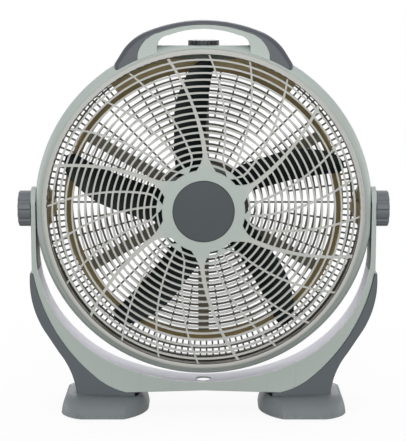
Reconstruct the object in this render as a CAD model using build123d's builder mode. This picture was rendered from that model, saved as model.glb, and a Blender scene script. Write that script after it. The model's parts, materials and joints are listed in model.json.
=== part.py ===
from build123d import *
from math import cos, degrees, radians, sin, sqrt, tan
import os

os.makedirs("parts", exist_ok=True)

# A round drum fan that tilts in a yoke stand.
# Millimetres, +Z up, +X right seen from the front, air blows towards -Y.
# Heights written as rise are measured from the fan axis.

# Layout
AXIS_Z = 334.0           # fan axis above the floor
PIVOT_DROP = 3.0         # tilt axis below the fan axis
PIVOT_Y = -7.0           # tilt axis in front of the middle of the feet
FIT = 0.3                # gap between assembled pieces
RUN = 0.05               # radial clearance of a shaft in its bearing

# Drum
DRUM_R = 270.0           # largest outer radius
DRUM_LIP_R = 257.5       # outer radius at the front edge
DRUM_WALL = 3.0
DRUM_FRONT_Y = -52.0
DRUM_SHOULDER_Y = -32.0  # where the flare meets the straight wall
DRUM_REAR_Y = 38.0
DRUM_FLANGE = 12.4       # inward flange at the back, from the outer skin
DRUM_CHAMFER = 3.0       # on the rear edge
DRUM_FLAT_X = 266.5      # flats beside the yoke arms
DRUM_FLAT_HALF = 46.0    # half the height of the wall behind a flat

# Deck under the handle
DECK_RISE = 257.0
DECK_HALF = 73.0         # half the length of the recess
DECK_WALL = 3.0
LEDGE_RISE = 260.5       # ledge along the front of the deck
LEDGE_REAR_Y = -26.0

# Front grille
RIM_R = 256.0
RIM_OPEN_R = 247.3       # inner edge of the rim
RIM_FRONT_Y = -66.0
RIM_ROUND = 4.0
RIM_INNER_ROUND = 2.0
SPIGOT_R = 253.3         # ring that plugs into the drum
SPIGOT_WALL = 3.5
SPIGOT_REAR_Y = -42.0
GUARD_FRONT_Y = -63.0    # front of the rings and ribs
GUARD_DEPTH = 5.0
GUARD_BITE = 1.0         # how far the gaps run on under the rim and the hub
RING_FIRST_R = 73.6
RING_PITCH = 10.375
RING_COUNT = 17
RING_WIDTH = 3.0
SECTORS = 6              # main ribs
SECTOR_START = 43.0      # angle of the first main rib at the rim
RIB_WIDTH = 3.0
MAIN_RIB_WIDTH = 4.6     # at the rim
MAIN_RIB_GAIN = 2.4      # gained towards the hub, over the radii below
MAIN_RIB_TAPER = (110.0, 170.0)
RIB_SWIRL_SPAN = 160.0   # radial length over which the swirl below is reached
RIB_SWIRLS = (14.8, 16.4, 17.6, 18.0, 14.8)
LOOP_TOP_R = 92.0        # the outer thin ribs close into a loop below this radius
LOOP_LOW_R = 70.0
LOOP_TURN = 9.0          # degrees that each side of the loop bends in
FLARE_R = 95.0           # the main ribs widen below this radius
FLARE_WIDTH = 24.0
HUB_R = 66.0
HUB_FRONT_Y = GUARD_FRONT_Y
HUB_REAR_Y = -57.0
BADGE_R = 48.2
BADGE_GROOVE = 1.0
BADGE_SINK = 1.6
BADGE_PROUD = 0.4

# Rear grille
PLATE_Y = 42.0           # front face of the inner grille
PLATE_DEPTH = 4.0
RING_PLATE_Y = 28.0      # front face of the outer slotted ring
RING_PLATE_DEPTH = 3.5
STEP_INNER_R = 217.5
STEP_OUTER_R = 227.0
STEP_REAR_INNER_R = 219.5
STEP_REAR_OUTER_R = 228.5
REAR_R = 266.4           # outer edge, just inside the drum wall
REAR_LIP = 3.4
MOTOR_PLATE_R = 75.0
REAR_RING_COUNT = 12
REAR_RING_WIDTH = 3.0
REAR_RIB_WIDTH = 2.6
REAR_RIBS = 8            # rib spaces between two struts
HALF_RIB_R = 149.0       # every other rib starts here
STRUT_WIDTH = 17.5
STRUT_DEPTH = 5.0
SLOT_PITCH = 2.4         # degrees
SLOT_RIB = 2.6
SLOT_ROWS = ((229.5, 242.0), (245.0, 257.0))
SLOT_BLANK = (52.0, 128.0)  # no slots behind the switch

# Rear casing screws
CASE_SCREW_R = 261.8
CASE_SCREW_COUNT = 5
CASE_SCREW_START = -90.0
CASE_BOSS_R = 4.3

# Handle, half outlines as (X, rise)
HANDLE_FOOT_RISE = 205.0  # inside the drum
HANDLE_OUTER = ((0.0, 299.6), (94.2, 280.4), (114.4, 267.3), (127.1, 253.1), (140.5, 231.5),
                (140.5, HANDLE_FOOT_RISE))
HANDLE_SEAM = ((0.0, 293.3), (69.2, 281.2), (94.2, 265.9), (103.6, 247.2), (103.6, HANDLE_FOOT_RISE))
HANDLE_HOLE = ((0.0, 287.0), (54.1, 277.4), (68.7, 269.9), (DECK_HALF, 262.6),
               (DECK_HALF, HANDLE_FOOT_RISE))
FRAME_FRONT_Y = -51.5
FRAME_REAR_Y = 6.0
COVER_FRONT_Y = -50.5
COVER_REAR_Y = 10.0
COVER_ROUND = 3.0
HANDLE_SCREW_X = (89.0, 124.0)
HANDLE_SCREW_LENGTH = 11.0

# Speed knob and switch
DIAL_Y = 2.0
DIAL_PLATE_R = 26.5
DIAL_PLATE_DEPTH = 1.0
DIAL_R = 24.8
DIAL_TOP_RISE = 267.5
DIAL_FLUTES = 20
DIAL_FLUTE_R = 2.0
DIAL_CHAMFER = 0.5
DIAL_CAP = 3.0           # top of the knob over its shaft
SWITCH_SIZE = 28.0
SWITCH_CORNER = 3.0
SWITCH_DEPTH = 8.0
SWITCH_SHAFT_R = 3.0
SWITCH_COVER_HALF = 57.0   # half the length of the box round the switch
SWITCH_COVER_RISE = 239.0  # its underside, clear of the blade tips
SWITCH_COVER_Y = (-20.0, 24.0)
SWITCH_COVER_WALL = 2.0
SWITCH_POST_X = 45.0
SWITCH_POST_R = 6.5
SWITCH_SCREW_SINK = 4.0
SWITCH_SCREW_BITE = 2.0    # depth of its screws in the deck

# Tilt pivot
BLOCK_INNER_X = 240.0    # wedge of the pivot block, behind the blade tips
BLOCK_INNER_HALF = 5.0
BLOCK_OUTER_HALF = 56.0
BLOCK_FRONT_Y = 12.0
BOSS_INNER_X = 244.0     # boss of the pivot block, round the bolt
BOSS_HALF = 12.0
WASHER_R = 16.0
WASHER_DEPTH = 2.5
BOLT_R = 4.0
BOLT_HOLE_R = 4.6
BOLT_INNER_X = 248.0
INSERT_R = 8.0
INSERT_X = (245.0, 262.0)
TILT_KNOB_R = 28.8
TILT_KNOB_INNER_X = 278.2
TILT_KNOB_OUTER_X = 298.6
TILT_KNOB_FLUTES = 12
TILT_KNOB_FLUTE_R = 4.0
TILT_KNOB_ROUND = 2.5
BOLT_HEAD_R = 7.0
BOLT_HEAD_X = (284.0, 290.0)

# Yoke, half outlines as (X, rise)
ARM_INNER_X = 269.3
ARM_OUTER_X = 277.6
ARM_HALF = 26.0          # half the depth of the yoke, and the radius of its arm tops
ARM_TOP = 36.0           # top of the arms above the tilt axis
ARM_STRAIGHT_RISE = -52.0  # the arms are straight above this
LEG_STEP_RISE = -106.0   # the legs start below this step
YOKE_OUTER = ((275.5, LEG_STEP_RISE), (241.7, -199.6), (178.2, -276.4), (154.0, -293.5),
              (126.0, -304.0))
YOKE_BASE_RISE = -300.3
YOKE_INNER = ((120.0, -264.8), (176.0, -237.8), (219.5, -199.6), (252.5, -149.0), (268.8, -84.0))
YOKE_TOP_RISE = -285.4
YOKE_WALL = 3.2
YOKE_SOLID_RISE = -78.0  # the arms are solid above this
YOKE_WEB_X = (52.0, 104.0, 150.0)
YOKE_HOLE_R = 13.0
YOKE_HOLE_Y = -11.0
YOKE_ROUND = 1.2         # on the front edges

# Legs, half outline as (X, rise)
LEG_OUTER = ((280.6, LEG_STEP_RISE), (275.6, -161.5), (259.4, -199.6), (234.8, -237.8),
             (214.5, -275.0), (207.7, -305.0))
LEG_INNER_X = 113.0
LEG_INSET = ((LEG_INNER_X, -296.0), (200.0, -238.0), (262.0, -145.0), (271.0, LEG_STEP_RISE))
LEG_HALF = 25.0
LEG_WALL = 3.2
LEG_SOLID_RISE = -286.0  # the legs are solid below this
LEG_ROUND = 1.0          # on the front edges
LEG_SEAT_Z = 12.0        # floor of the socket in the foot

# Feet, plans as (inner X, outer X, half depth, front X range, half lengths of the two sides,
# bows of the inner and outer corners)
FOOT_BASE = (90.0, 231.0, 91.0, (128.0, 196.0), (18.0, 48.0), (10.0, 8.0))
FOOT_SHOULDER = (93.0, 229.0, 79.0, (126.0, 199.0), (18.0, 45.0), (9.0, 7.0))
FOOT_TOP = (110.0, 219.0, 31.0, (118.0, 205.0), (9.0, 19.0), (2.5, 3.0))
FOOT_SHOULDER_Z = 15.0
FOOT_TOP_Z = 28.7        # at the outer end of the top
FOOT_TOP_FALL = 2.7      # degrees that the top falls towards the middle
FOOT_WALL = 9.0
FOOT_CAVITY_Z = 9.0
SOCKET_NOTCH = (5.0, 13.0)  # gap at the inner end of the leg socket, front and back
PAD_Z = 2.0
PAD_R = 13.0
PAD_SINK = 2.0
PAD_POSTS = ((150.0, -66.0), (150.0, 66.0), (205.0, 0.0), (110.0, 0.0))
POST_WALL = 2.5
LEG_SCREW_X = (140.0, 172.0)
LEG_SCREW_RISE = 14.0

# Motor
MOTOR_R = 50.0
BELL_FRONT_Y = 32.0
BELL_SPLIT_Y = 57.0
BELL_REAR_Y = 82.0
BELL_WALL = 3.0
STATOR_R = 44.0
STATOR_Y = (46.0, 68.0)
ROTOR_R = 25.0
AIR_GAP = 0.6
COIL_R = (28.0, 40.0)
COIL_REACH = 8.0
SHAFT_R = 4.0
SHAFT_Y = (-34.0, 87.9)
BEARING_R = 9.0
BEARING_LENGTH = 10.0
BEARING_WALL = 4.0
BEARING_PROUD = 4.0      # bearing housing beyond the bell
FLANGE_R = 66.0
FLANGE_DEPTH = 3.5
MOTOR_SCREW_R = 58.0
MOTOR_SCREW_COUNT = 4
MOTOR_BOLT_R = 47.1
THRUST_R = 7.0
THRUST_DEPTH = 1.2

# Motor cover, capacitor and cord gland on the back
COVER_R = 71.0
COVER_WALL = 2.5
COVER_Y = 91.0
COVER_EDGE = 2.0         # rounding of its rear edge
COVER_EAR_R = 75.2       # centres of the screw ears
EAR_R = 4.8
VENT_COUNT = 9
VENT_PITCH = 9.0
VENT_WIDTH = 4.0
VENT_HALF_REACH = 48.0
CAPACITOR_X = (52.5, 66.0)
CAPACITOR_HALF = 13.0
CAPACITOR_DEPTH = 38.0
GLAND_Y = 72.0
GLAND_R = 6.0
GLAND_FLANGE_R = 9.0
GLAND_BORE_R = 3.6
GLAND_LENGTH = 12.0

# Lead from the switch to the motor
LEAD_R = 2.5
LEAD_RISE = 249.5
LEAD_Y = 54.5
LEAD_BEND = 12.0
LEAD_LOW_RISE = 60.0
LEAD_COVER_WALL = 2.0
LEAD_COVER_RISE = (80.0, 211.0)

# Impeller
BLADE_COUNT = 5
BLADE_TIP_R = 236.0
BLADE_Y = -4.0           # middle of the blades
BLADE_DEPTH = 2.6
BLADE_EDGE = 1.3
BLADE_CAMBER = 4.0
BLADE_ROOT_PITCH = 36.0
BLADE_TIP_PITCH = 20.0
BLADE_STATIONS = (50.0, 82.0, 112.0, 142.0, 166.0, 188.0, 208.0, 222.0, 231.0, 236.5)
BLADE_LEAD_X = 3.0       # leading edge, right of the blade's upright line
BLADE_LEAD_SWEEP = 15.7  # reached at the tip
BLADE_LEAD_START = 100.0
BLADE_TRAIL_X = 47.5     # trailing edge, left of the line
BLADE_TRAIL_SWEEP = 35.9
BLADE_TRAIL_START = 140.0
BLADE_ROUND_R = 222.0    # the tip rounds off from here
BLADE_CLOSE_R = 237.0    # and would close here
SPINNER_R = 58.0
SPINNER_WALL = 3.0
SPINNER_Y = (-24.0, 14.0)
BLADE_BOSS_R = 11.0
BLADE_BOSS_REAR_Y = 18.6
PIN_R = 1.5
PIN_Y = 17.8
PIN_HALF = 9.5
NUT_R = 13.0
NUT_LENGTH = 11.0
NUT_ROUND = 2.0

# Screws
SCREW_R = 1.9
SCREW_HEAD_R = 3.6
SCREW_HEAD = 2.4
SCREW_HOLE = 0.15        # radial clearance of a screw in its hole

PIVOT_Z = AXIS_Z - PIVOT_DROP
SECTION = Plane(origin=(0, 0, AXIS_Z), x_dir=(0, 0, 1), z_dir=(-1, 0, 0))
FAN_AXIS = Axis((0, 0, AXIS_Z), (0, 1, 0))
SPREAD = 2 * DRUM_R      # larger than any cut has to reach


def front_plane(y):
    """Plane seen from the front, with its centre on the fan axis."""
    return Plane(origin=(0, y, AXIS_Z), x_dir=(1, 0, 0), z_dir=(0, -1, 0))


def side_plane(x):
    """Plane across the tilt axis, with local axes +Y and +Z."""
    return Plane(origin=(x, PIVOT_Y, PIVOT_Z), x_dir=(0, 1, 0), z_dir=(1, 0, 0))


def polar(radius, angle):
    """Point at an angle counter-clockwise from +X, seen from the front."""
    return (radius * cos(radians(angle)), radius * sin(radians(angle)))


def spread(count, radius, start=0.0):
    """Points spaced evenly round the fan axis."""
    return [polar(radius, start + 360.0 * index / count) for index in range(count)]


def tube_y(radius, y_front, y_rear, bore=0.0, points=((0, 0),), mode=Mode.ADD):
    """Round bars or tubes along Y, at points of the front view."""
    with BuildSketch(front_plane(y_rear)) as outline:
        with Locations(*points):
            Circle(radius)
        if bore:
            with Locations(*points):
                Circle(bore, mode=Mode.SUBTRACT)
    extrude(outline.sketch, amount=y_rear - y_front, mode=mode)


def tube_x(radius, x_inner, x_outer, bore=0.0, mode=Mode.ADD):
    """Round bar or tube along the tilt axis."""
    with BuildSketch(side_plane(x_inner)) as outline:
        Circle(radius)
        if bore:
            Circle(bore, mode=Mode.SUBTRACT)
    extrude(outline.sketch, amount=x_outer - x_inner, mode=mode)


def tube_z(radius, z_low, z_high, bore=0.0, points=((0, 0),), mode=Mode.ADD):
    """Round bars or tubes along Z, at points of the plan."""
    with BuildSketch(Plane.XY.offset(z_low)) as outline:
        with Locations(*points):
            Circle(radius)
        if bore:
            with Locations(*points):
                Circle(bore, mode=Mode.SUBTRACT)
    extrude(outline.sketch, amount=z_high - z_low, mode=mode)


def slab(x_range, rise_range, y_front, y_rear, mode=Mode.ADD):
    """Block given by its front view and its depth."""
    with BuildSketch(front_plane(y_rear)) as outline:
        with Locations(((x_range[0] + x_range[1]) / 2, (rise_range[0] + rise_range[1]) / 2)):
            Rectangle(x_range[1] - x_range[0], rise_range[1] - rise_range[0])
    extrude(outline.sketch, amount=y_rear - y_front, mode=mode)


def button(radius, y_edge, y_flat, edge):
    """Round plug on the fan axis, with its edge rounded at y_edge."""
    bulge = edge if y_flat > y_edge else -edge
    with BuildSketch(SECTION) as half:
        with BuildLine():
            Polyline((radius, y_edge + bulge), (radius, y_flat), (0, y_flat), (0, y_edge),
                     (radius - edge, y_edge))
            TangentArc((radius - edge, y_edge), (radius, y_edge + bulge), tangent=(1, 0))
        make_face()
    revolve(half.sketch, axis=FAN_AXIS)


def cell(inner, outer, start, end):
    """Window between two circles and two ribs, whose edge angles are functions of the radius."""
    near_middle = (start(inner) + end(inner)) / 2
    far_middle = (start(outer) + end(outer)) / 2
    near = [polar(inner, start(inner)), polar(inner, near_middle), polar(inner, end(inner))]
    far = [polar(outer, end(outer)), polar(outer, far_middle), polar(outer, start(outer))]
    edges = [
        ThreePointArc(*near, mode=Mode.PRIVATE),
        Line(near[-1], far[0], mode=Mode.PRIVATE),
        ThreePointArc(*far, mode=Mode.PRIVATE),
        Line(far[-1], near[0], mode=Mode.PRIVATE),
    ]
    return make_face(edges, mode=Mode.PRIVATE)


def drum_fill(skin):
    """The drum and rim as a filled body, with its surface moved out by skin."""
    with BuildPart() as fill:
        with BuildSketch(SECTION):
            with BuildLine():
                Polyline((0, DRUM_REAR_Y), (0, RIM_FRONT_Y), (DRUM_LIP_R + skin, RIM_FRONT_Y),
                         (DRUM_LIP_R + skin, DRUM_FRONT_Y))
                TangentArc((DRUM_R + skin, DRUM_SHOULDER_Y), (DRUM_LIP_R + skin, DRUM_FRONT_Y),
                           tangent=(0, -1))
                Polyline((DRUM_R + skin, DRUM_SHOULDER_Y), (DRUM_R + skin, DRUM_REAR_Y), (0, DRUM_REAR_Y))
            make_face()
        revolve(axis=FAN_AXIS)
    return fill.part


def handle_screw_z(x):
    """Height of the drum's inner skin where the head of a handle screw meets it."""
    return AXIS_Z + sqrt((DRUM_R - DRUM_WALL) ** 2 - (x + SCREW_HEAD_R) ** 2)


def handle_screw_holes():
    """Cut the blind holes for the handle screws from inside the drum."""
    for x in HANDLE_SCREW_X:
        tube_z(SCREW_R + SCREW_HOLE, AXIS_Z, handle_screw_z(x) + HANDLE_SCREW_LENGTH + FIT,
               points=[(-x, 0), (x, 0)], mode=Mode.SUBTRACT)


drum_inside = drum_fill(-DRUM_WALL - FIT)
drum_outside = drum_fill(0)
drum_clear = drum_fill(FIT)
case_screw_points = spread(CASE_SCREW_COUNT, CASE_SCREW_R, CASE_SCREW_START)
switch_screw_points = [(-SWITCH_POST_X, DIAL_Y), (SWITCH_POST_X, DIAL_Y)]
deck_low_z = AXIS_Z + DECK_RISE - DECK_WALL

# Walls behind the flats of the drum
flat_inner_x = DRUM_FLAT_X - DRUM_WALL
with BuildPart() as flat_walls:
    slab((flat_inner_x, DRUM_FLAT_X), (-DRUM_FLAT_HALF, DRUM_FLAT_HALF), DRUM_FRONT_Y, DRUM_REAR_Y)
    mirror(about=Plane.YZ)
    add(drum_outside, mode=Mode.INTERSECT)

# Deck: a tray let into the top of the drum
deck_clear = DECK_HALF + DECK_WALL + FIT
with BuildPart() as deck_block:
    slab((-DECK_HALF - DECK_WALL, DECK_HALF + DECK_WALL), (DECK_RISE - DECK_WALL, DRUM_R),
         DRUM_FRONT_Y, DRUM_REAR_Y)
    add(drum_outside, mode=Mode.INTERSECT)

# Drum
with BuildPart() as drum:
    with BuildSketch(SECTION):
        with BuildLine():
            TangentArc((DRUM_R, DRUM_SHOULDER_Y), (DRUM_LIP_R, DRUM_FRONT_Y), tangent=(0, -1))
            Polyline((DRUM_R, DRUM_SHOULDER_Y), (DRUM_R, DRUM_REAR_Y - DRUM_CHAMFER),
                     (DRUM_R - DRUM_CHAMFER, DRUM_REAR_Y), (DRUM_R - DRUM_FLANGE, DRUM_REAR_Y),
                     (DRUM_R - DRUM_FLANGE, DRUM_REAR_Y - DRUM_WALL),
                     (DRUM_R - DRUM_WALL, DRUM_REAR_Y - DRUM_WALL), (DRUM_R - DRUM_WALL, DRUM_SHOULDER_Y))
            TangentArc((DRUM_R - DRUM_WALL, DRUM_SHOULDER_Y), (DRUM_LIP_R - DRUM_WALL, DRUM_FRONT_Y),
                       tangent=(0, -1))
            Line((DRUM_LIP_R - DRUM_WALL, DRUM_FRONT_Y), (DRUM_LIP_R, DRUM_FRONT_Y))
        make_face()
    revolve(axis=FAN_AXIS)
    add(deck_block.part)
    add(flat_walls.part)
    slab((-DECK_HALF, DECK_HALF), (LEDGE_RISE, SPREAD), DRUM_FRONT_Y, DRUM_REAR_Y, mode=Mode.SUBTRACT)
    slab((-DECK_HALF, DECK_HALF), (DECK_RISE, SPREAD), LEDGE_REAR_Y, DRUM_REAR_Y, mode=Mode.SUBTRACT)
    for side in (-1, 1):
        flat = sorted((side * DRUM_FLAT_X, side * SPREAD))
        slab(flat, (-SPREAD, SPREAD), DRUM_FRONT_Y, DRUM_REAR_Y, mode=Mode.SUBTRACT)
    tube_x(BOLT_HOLE_R, -SPREAD, SPREAD, mode=Mode.SUBTRACT)
    tube_z(SWITCH_SHAFT_R + 2 * FIT, AXIS_Z, AXIS_Z + SPREAD, points=[(0, DIAL_Y)], mode=Mode.SUBTRACT)
    handle_screw_holes()
    tube_z(SCREW_R + SCREW_HOLE, deck_low_z, deck_low_z + SWITCH_SCREW_BITE + FIT,
           points=switch_screw_points, mode=Mode.SUBTRACT)
    tube_y(SCREW_R + SCREW_HOLE, DRUM_REAR_Y - DRUM_WALL, DRUM_REAR_Y, points=case_screw_points,
           mode=Mode.SUBTRACT)

# Front grille
ring_radii = [RING_FIRST_R + RING_PITCH * index for index in range(RING_COUNT)]
rib_count = len(RIB_SWIRLS) - 1
gap_inner = [HUB_R - GUARD_BITE] + [radius + RING_WIDTH / 2 for radius in ring_radii]
gap_outer = [radius - RING_WIDTH / 2 for radius in ring_radii] + [RIM_OPEN_R + GUARD_BITE]


def rib_angle(index, radius):
    """Middle of a rib: 0 and rib_count are main ribs, 1 and rib_count - 1 close into a loop."""
    angle = SECTOR_START + 360.0 / SECTORS * index / rib_count
    angle -= RIB_SWIRLS[index] * (RIM_OPEN_R - radius) / RIB_SWIRL_SPAN
    bend = LOOP_TURN * max(0.0, (LOOP_TOP_R - radius) / (LOOP_TOP_R - LOOP_LOW_R)) ** 2
    if index == 1:
        angle += bend
    if index == rib_count - 1:
        angle -= bend
    return angle


def rib_width(index, radius):
    """Width of a rib; the main ribs widen and then flare out towards the hub."""
    if index not in (0, rib_count):
        return RIB_WIDTH
    inner, outer = MAIN_RIB_TAPER
    gain = MAIN_RIB_GAIN * min(1.0, max(0.0, (outer - radius) / (outer - inner)))
    flare = FLARE_WIDTH * max(0.0, (FLARE_R - radius) / (FLARE_R - HUB_R)) ** 2
    return MAIN_RIB_WIDTH + gain + flare


def rib_edge(index, side):
    """Angle of one edge of a rib, as a function of the radius."""
    return lambda radius: rib_angle(index, radius) + side * degrees(rib_width(index, radius) / 2 / radius)


front_cells = []
for gap_index, (low, high) in enumerate(zip(gap_inner, gap_outer)):
    for rib in range(rib_count):
        inside_loop = 0 < rib < rib_count - 1
        if gap_index == 0 and inside_loop:
            continue
        front_cells.append(cell(low, high, rib_edge(rib, 1), rib_edge(rib + 1, -1)))


# Ring that plugs the grille into the drum, left out at the deck
with BuildPart() as spigot:
    tube_y(SPIGOT_R, RIM_FRONT_Y + RIM_ROUND, SPIGOT_REAR_Y, bore=SPIGOT_R - SPIGOT_WALL)
    slab((-deck_clear, deck_clear), (0, SPREAD), RIM_FRONT_Y, DRUM_REAR_Y, mode=Mode.SUBTRACT)

rim_middle_r = (RIM_R + RIM_OPEN_R) / 2
with BuildPart() as front_grille:
    with BuildSketch(front_plane(GUARD_FRONT_Y + GUARD_DEPTH)):
        Circle(rim_middle_r)
        with PolarLocations(0, SECTORS):
            add(front_cells, mode=Mode.SUBTRACT)
    extrude(amount=GUARD_DEPTH)
    with BuildSketch(SECTION):
        with BuildLine():
            Polyline((RIM_OPEN_R, DRUM_FRONT_Y - FIT), (RIM_OPEN_R, RIM_FRONT_Y + RIM_INNER_ROUND))
            TangentArc((RIM_OPEN_R, RIM_FRONT_Y + RIM_INNER_ROUND),
                       (RIM_OPEN_R + RIM_INNER_ROUND, RIM_FRONT_Y), tangent=(0, -1))
            Line((RIM_OPEN_R + RIM_INNER_ROUND, RIM_FRONT_Y), (RIM_R - RIM_ROUND, RIM_FRONT_Y))
            TangentArc((RIM_R - RIM_ROUND, RIM_FRONT_Y), (RIM_R, RIM_FRONT_Y + RIM_ROUND), tangent=(1, 0))
            Polyline((RIM_R, RIM_FRONT_Y + RIM_ROUND), (RIM_R, DRUM_FRONT_Y - FIT),
                     (RIM_OPEN_R, DRUM_FRONT_Y - FIT))
        make_face()
    revolve(axis=FAN_AXIS)
    add(spigot.part)
    tube_y(HUB_R, HUB_FRONT_Y, HUB_REAR_Y)
    tube_y(BADGE_R + BADGE_GROOVE, HUB_FRONT_Y, HUB_FRONT_Y + BADGE_SINK, mode=Mode.SUBTRACT)

# Badge in the hub
with BuildPart() as hub_badge:
    button(BADGE_R, HUB_FRONT_Y - BADGE_PROUD, HUB_FRONT_Y + BADGE_SINK, BADGE_PROUD)

# Rear grille
rear_pitch = (STEP_INNER_R - MOTOR_PLATE_R) / (REAR_RING_COUNT + 1)
rear_rings = [MOTOR_PLATE_R + rear_pitch * (index + 1) for index in range(REAR_RING_COUNT)]
rear_inner = [MOTOR_PLATE_R] + [radius + REAR_RING_WIDTH / 2 for radius in rear_rings]
rear_outer = [radius - REAR_RING_WIDTH / 2 for radius in rear_rings + [STEP_INNER_R]]
sector_angle = 360.0 / SECTORS
strut_start = sector_angle / 2


def rear_edge(index, side):
    """Angle of one edge of a straight rib; ribs 0 and REAR_RIBS are struts."""
    width = STRUT_WIDTH if index in (0, REAR_RIBS) else REAR_RIB_WIDTH
    middle = strut_start + sector_angle * index / REAR_RIBS
    return lambda radius: middle + side * degrees(width / 2 / radius)


rear_cells = []
for low, high in zip(rear_inner, rear_outer):
    stride = 2 if high < HALF_RIB_R else 1
    for rib in range(0, REAR_RIBS, stride):
        rear_cells.append(cell(low, high, rear_edge(rib, 1), rear_edge(rib + stride, -1)))


def slot_edge(angle, side):
    """Angle of one edge of a short rib in the outer ring."""
    return lambda radius: angle + side * degrees(SLOT_RIB / 2 / radius)


ring_cells = []
for index in range(round(360.0 / SLOT_PITCH)):
    slot_angle = SLOT_PITCH * index
    if SLOT_BLANK[0] <= slot_angle and slot_angle + SLOT_PITCH <= SLOT_BLANK[1]:
        continue
    slot_sides = (slot_edge(slot_angle, 1), slot_edge(slot_angle + SLOT_PITCH, -1))
    for low, high in SLOT_ROWS:
        ring_cells.append(cell(low, high, *slot_sides))

plate_rear_y = PLATE_Y + PLATE_DEPTH
ring_rear_y = RING_PLATE_Y + RING_PLATE_DEPTH
flange_front_y = DRUM_REAR_Y - DRUM_WALL
motor_hole_r = MOTOR_R + FIT
motor_screw_points = spread(MOTOR_SCREW_COUNT, MOTOR_SCREW_R, strut_start / 2)
ear_points = spread(SECTORS // 2, COVER_EAR_R, strut_start)
with BuildPart() as rear_grille:
    with BuildSketch(SECTION):
        Polygon((motor_hole_r, PLATE_Y), (STEP_INNER_R, PLATE_Y), (STEP_OUTER_R, RING_PLATE_Y),
                (REAR_R, RING_PLATE_Y), (REAR_R, flange_front_y - FIT),
                (REAR_R - REAR_LIP, flange_front_y - FIT), (REAR_R - REAR_LIP, ring_rear_y),
                (STEP_REAR_OUTER_R, ring_rear_y), (STEP_REAR_INNER_R, plate_rear_y),
                (motor_hole_r, plate_rear_y), align=None)
    revolve(axis=FAN_AXIS)
    with BuildSketch(front_plane(plate_rear_y + FIT)):
        with PolarLocations(0, SECTORS):
            add(rear_cells)
    extrude(amount=PLATE_DEPTH + 2 * FIT, mode=Mode.SUBTRACT)
    with BuildSketch(front_plane(ring_rear_y + FIT)):
        add(ring_cells)
    extrude(amount=RING_PLATE_DEPTH + 2 * FIT, mode=Mode.SUBTRACT)
    with BuildSketch(front_plane(plate_rear_y + STRUT_DEPTH)):
        with PolarLocations((COVER_R + FIT + STEP_INNER_R) / 2, SECTORS, start_angle=strut_start):
            Rectangle(STEP_INNER_R - COVER_R - FIT, STRUT_WIDTH)
        Circle(COVER_R + FIT, mode=Mode.SUBTRACT)
    extrude(amount=STRUT_DEPTH)
    tube_y(CASE_BOSS_R, ring_rear_y - FIT, flange_front_y - FIT, points=case_screw_points)
    tube_y(SCREW_R + SCREW_HOLE, RING_PLATE_Y, flange_front_y, points=case_screw_points,
           mode=Mode.SUBTRACT)
    tube_y(SCREW_R + SCREW_HOLE, PLATE_Y, plate_rear_y, points=motor_screw_points, mode=Mode.SUBTRACT)
    tube_y(EAR_R + FIT, plate_rear_y, plate_rear_y + STRUT_DEPTH, points=ear_points, mode=Mode.SUBTRACT)
    tube_y(SCREW_R + SCREW_HOLE, PLATE_Y, plate_rear_y, points=ear_points, mode=Mode.SUBTRACT)
    tube_y(LEAD_R + FIT, RING_PLATE_Y, ring_rear_y, points=[(0, LEAD_RISE)], mode=Mode.SUBTRACT)
    slab((-deck_clear, deck_clear), (DECK_RISE - DECK_WALL - FIT, SPREAD), RING_PLATE_Y, flange_front_y,
         mode=Mode.SUBTRACT)
    for side in (-1, 1):
        edge = sorted((side * (flat_inner_x - FIT), side * SPREAD))
        slab(edge, (-DRUM_FLAT_HALF, DRUM_FLAT_HALF), RING_PLATE_Y, flange_front_y, mode=Mode.SUBTRACT)

# Screws of the casing, heads on the back of the drum flange
with BuildPart() as case_screws:
    tube_y(SCREW_R, RING_PLATE_Y, DRUM_REAR_Y, points=case_screw_points)
    tube_y(SCREW_HEAD_R, DRUM_REAR_Y, DRUM_REAR_Y + SCREW_HEAD, points=case_screw_points)


def arch(points):
    """Region under a handle outline: a long arc, a shoulder arc and a straight-sided foot, mirrored."""
    crown, shoulder_start, shoulder_middle, shoulder_end, *foot = points
    far_foot = [(-x, rise) for x, rise in reversed(foot)]
    with BuildSketch() as region:
        with BuildLine():
            ThreePointArc((-shoulder_start[0], shoulder_start[1]), crown, shoulder_start)
            ThreePointArc(shoulder_start, shoulder_middle, shoulder_end)
            Polyline(shoulder_end, *foot, *far_foot, (-shoulder_end[0], shoulder_end[1]))
            ThreePointArc((-shoulder_end[0], shoulder_end[1]), (-shoulder_middle[0], shoulder_middle[1]),
                          (-shoulder_start[0], shoulder_start[1]))
        make_face()
    return region.sketch


# Handle frame: the light loop around the finger opening
with BuildPart() as handle_frame:
    with BuildSketch(front_plane(FRAME_REAR_Y)):
        add(arch(HANDLE_SEAM))
        add(arch(HANDLE_HOLE), mode=Mode.SUBTRACT)
    extrude(amount=FRAME_REAR_Y - FRAME_FRONT_Y)
    add(drum_clear, mode=Mode.SUBTRACT)
    handle_screw_holes()

# Handle cover: the dark outer arch
with BuildPart() as handle_cover:
    with BuildSketch(front_plane(COVER_REAR_Y)):
        add(arch(HANDLE_OUTER))
        with BuildSketch(mode=Mode.PRIVATE) as seam:
            add(arch(HANDLE_SEAM))
            offset(amount=FIT)
        add(seam.sketch, mode=Mode.SUBTRACT)
    extrude(amount=COVER_REAR_Y - COVER_FRONT_Y)
    seam_half = HANDLE_SEAM[-1][0] + COVER_ROUND
    crown_z = AXIS_Z + HANDLE_OUTER[0][1] - COVER_ROUND
    skin_edges = handle_cover.edges().filter_by(Axis.Y, reverse=True).filter_by(
        lambda edge: abs((edge @ 0.5).X) > seam_half or (edge @ 0.5).Z > crown_z)
    skin_edges = skin_edges.filter_by(lambda edge: (edge @ 0.5).Z > AXIS_Z + HANDLE_FOOT_RISE + FIT)
    fillet(skin_edges, COVER_ROUND)
    add(drum_clear, mode=Mode.SUBTRACT)
    handle_screw_holes()

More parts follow.
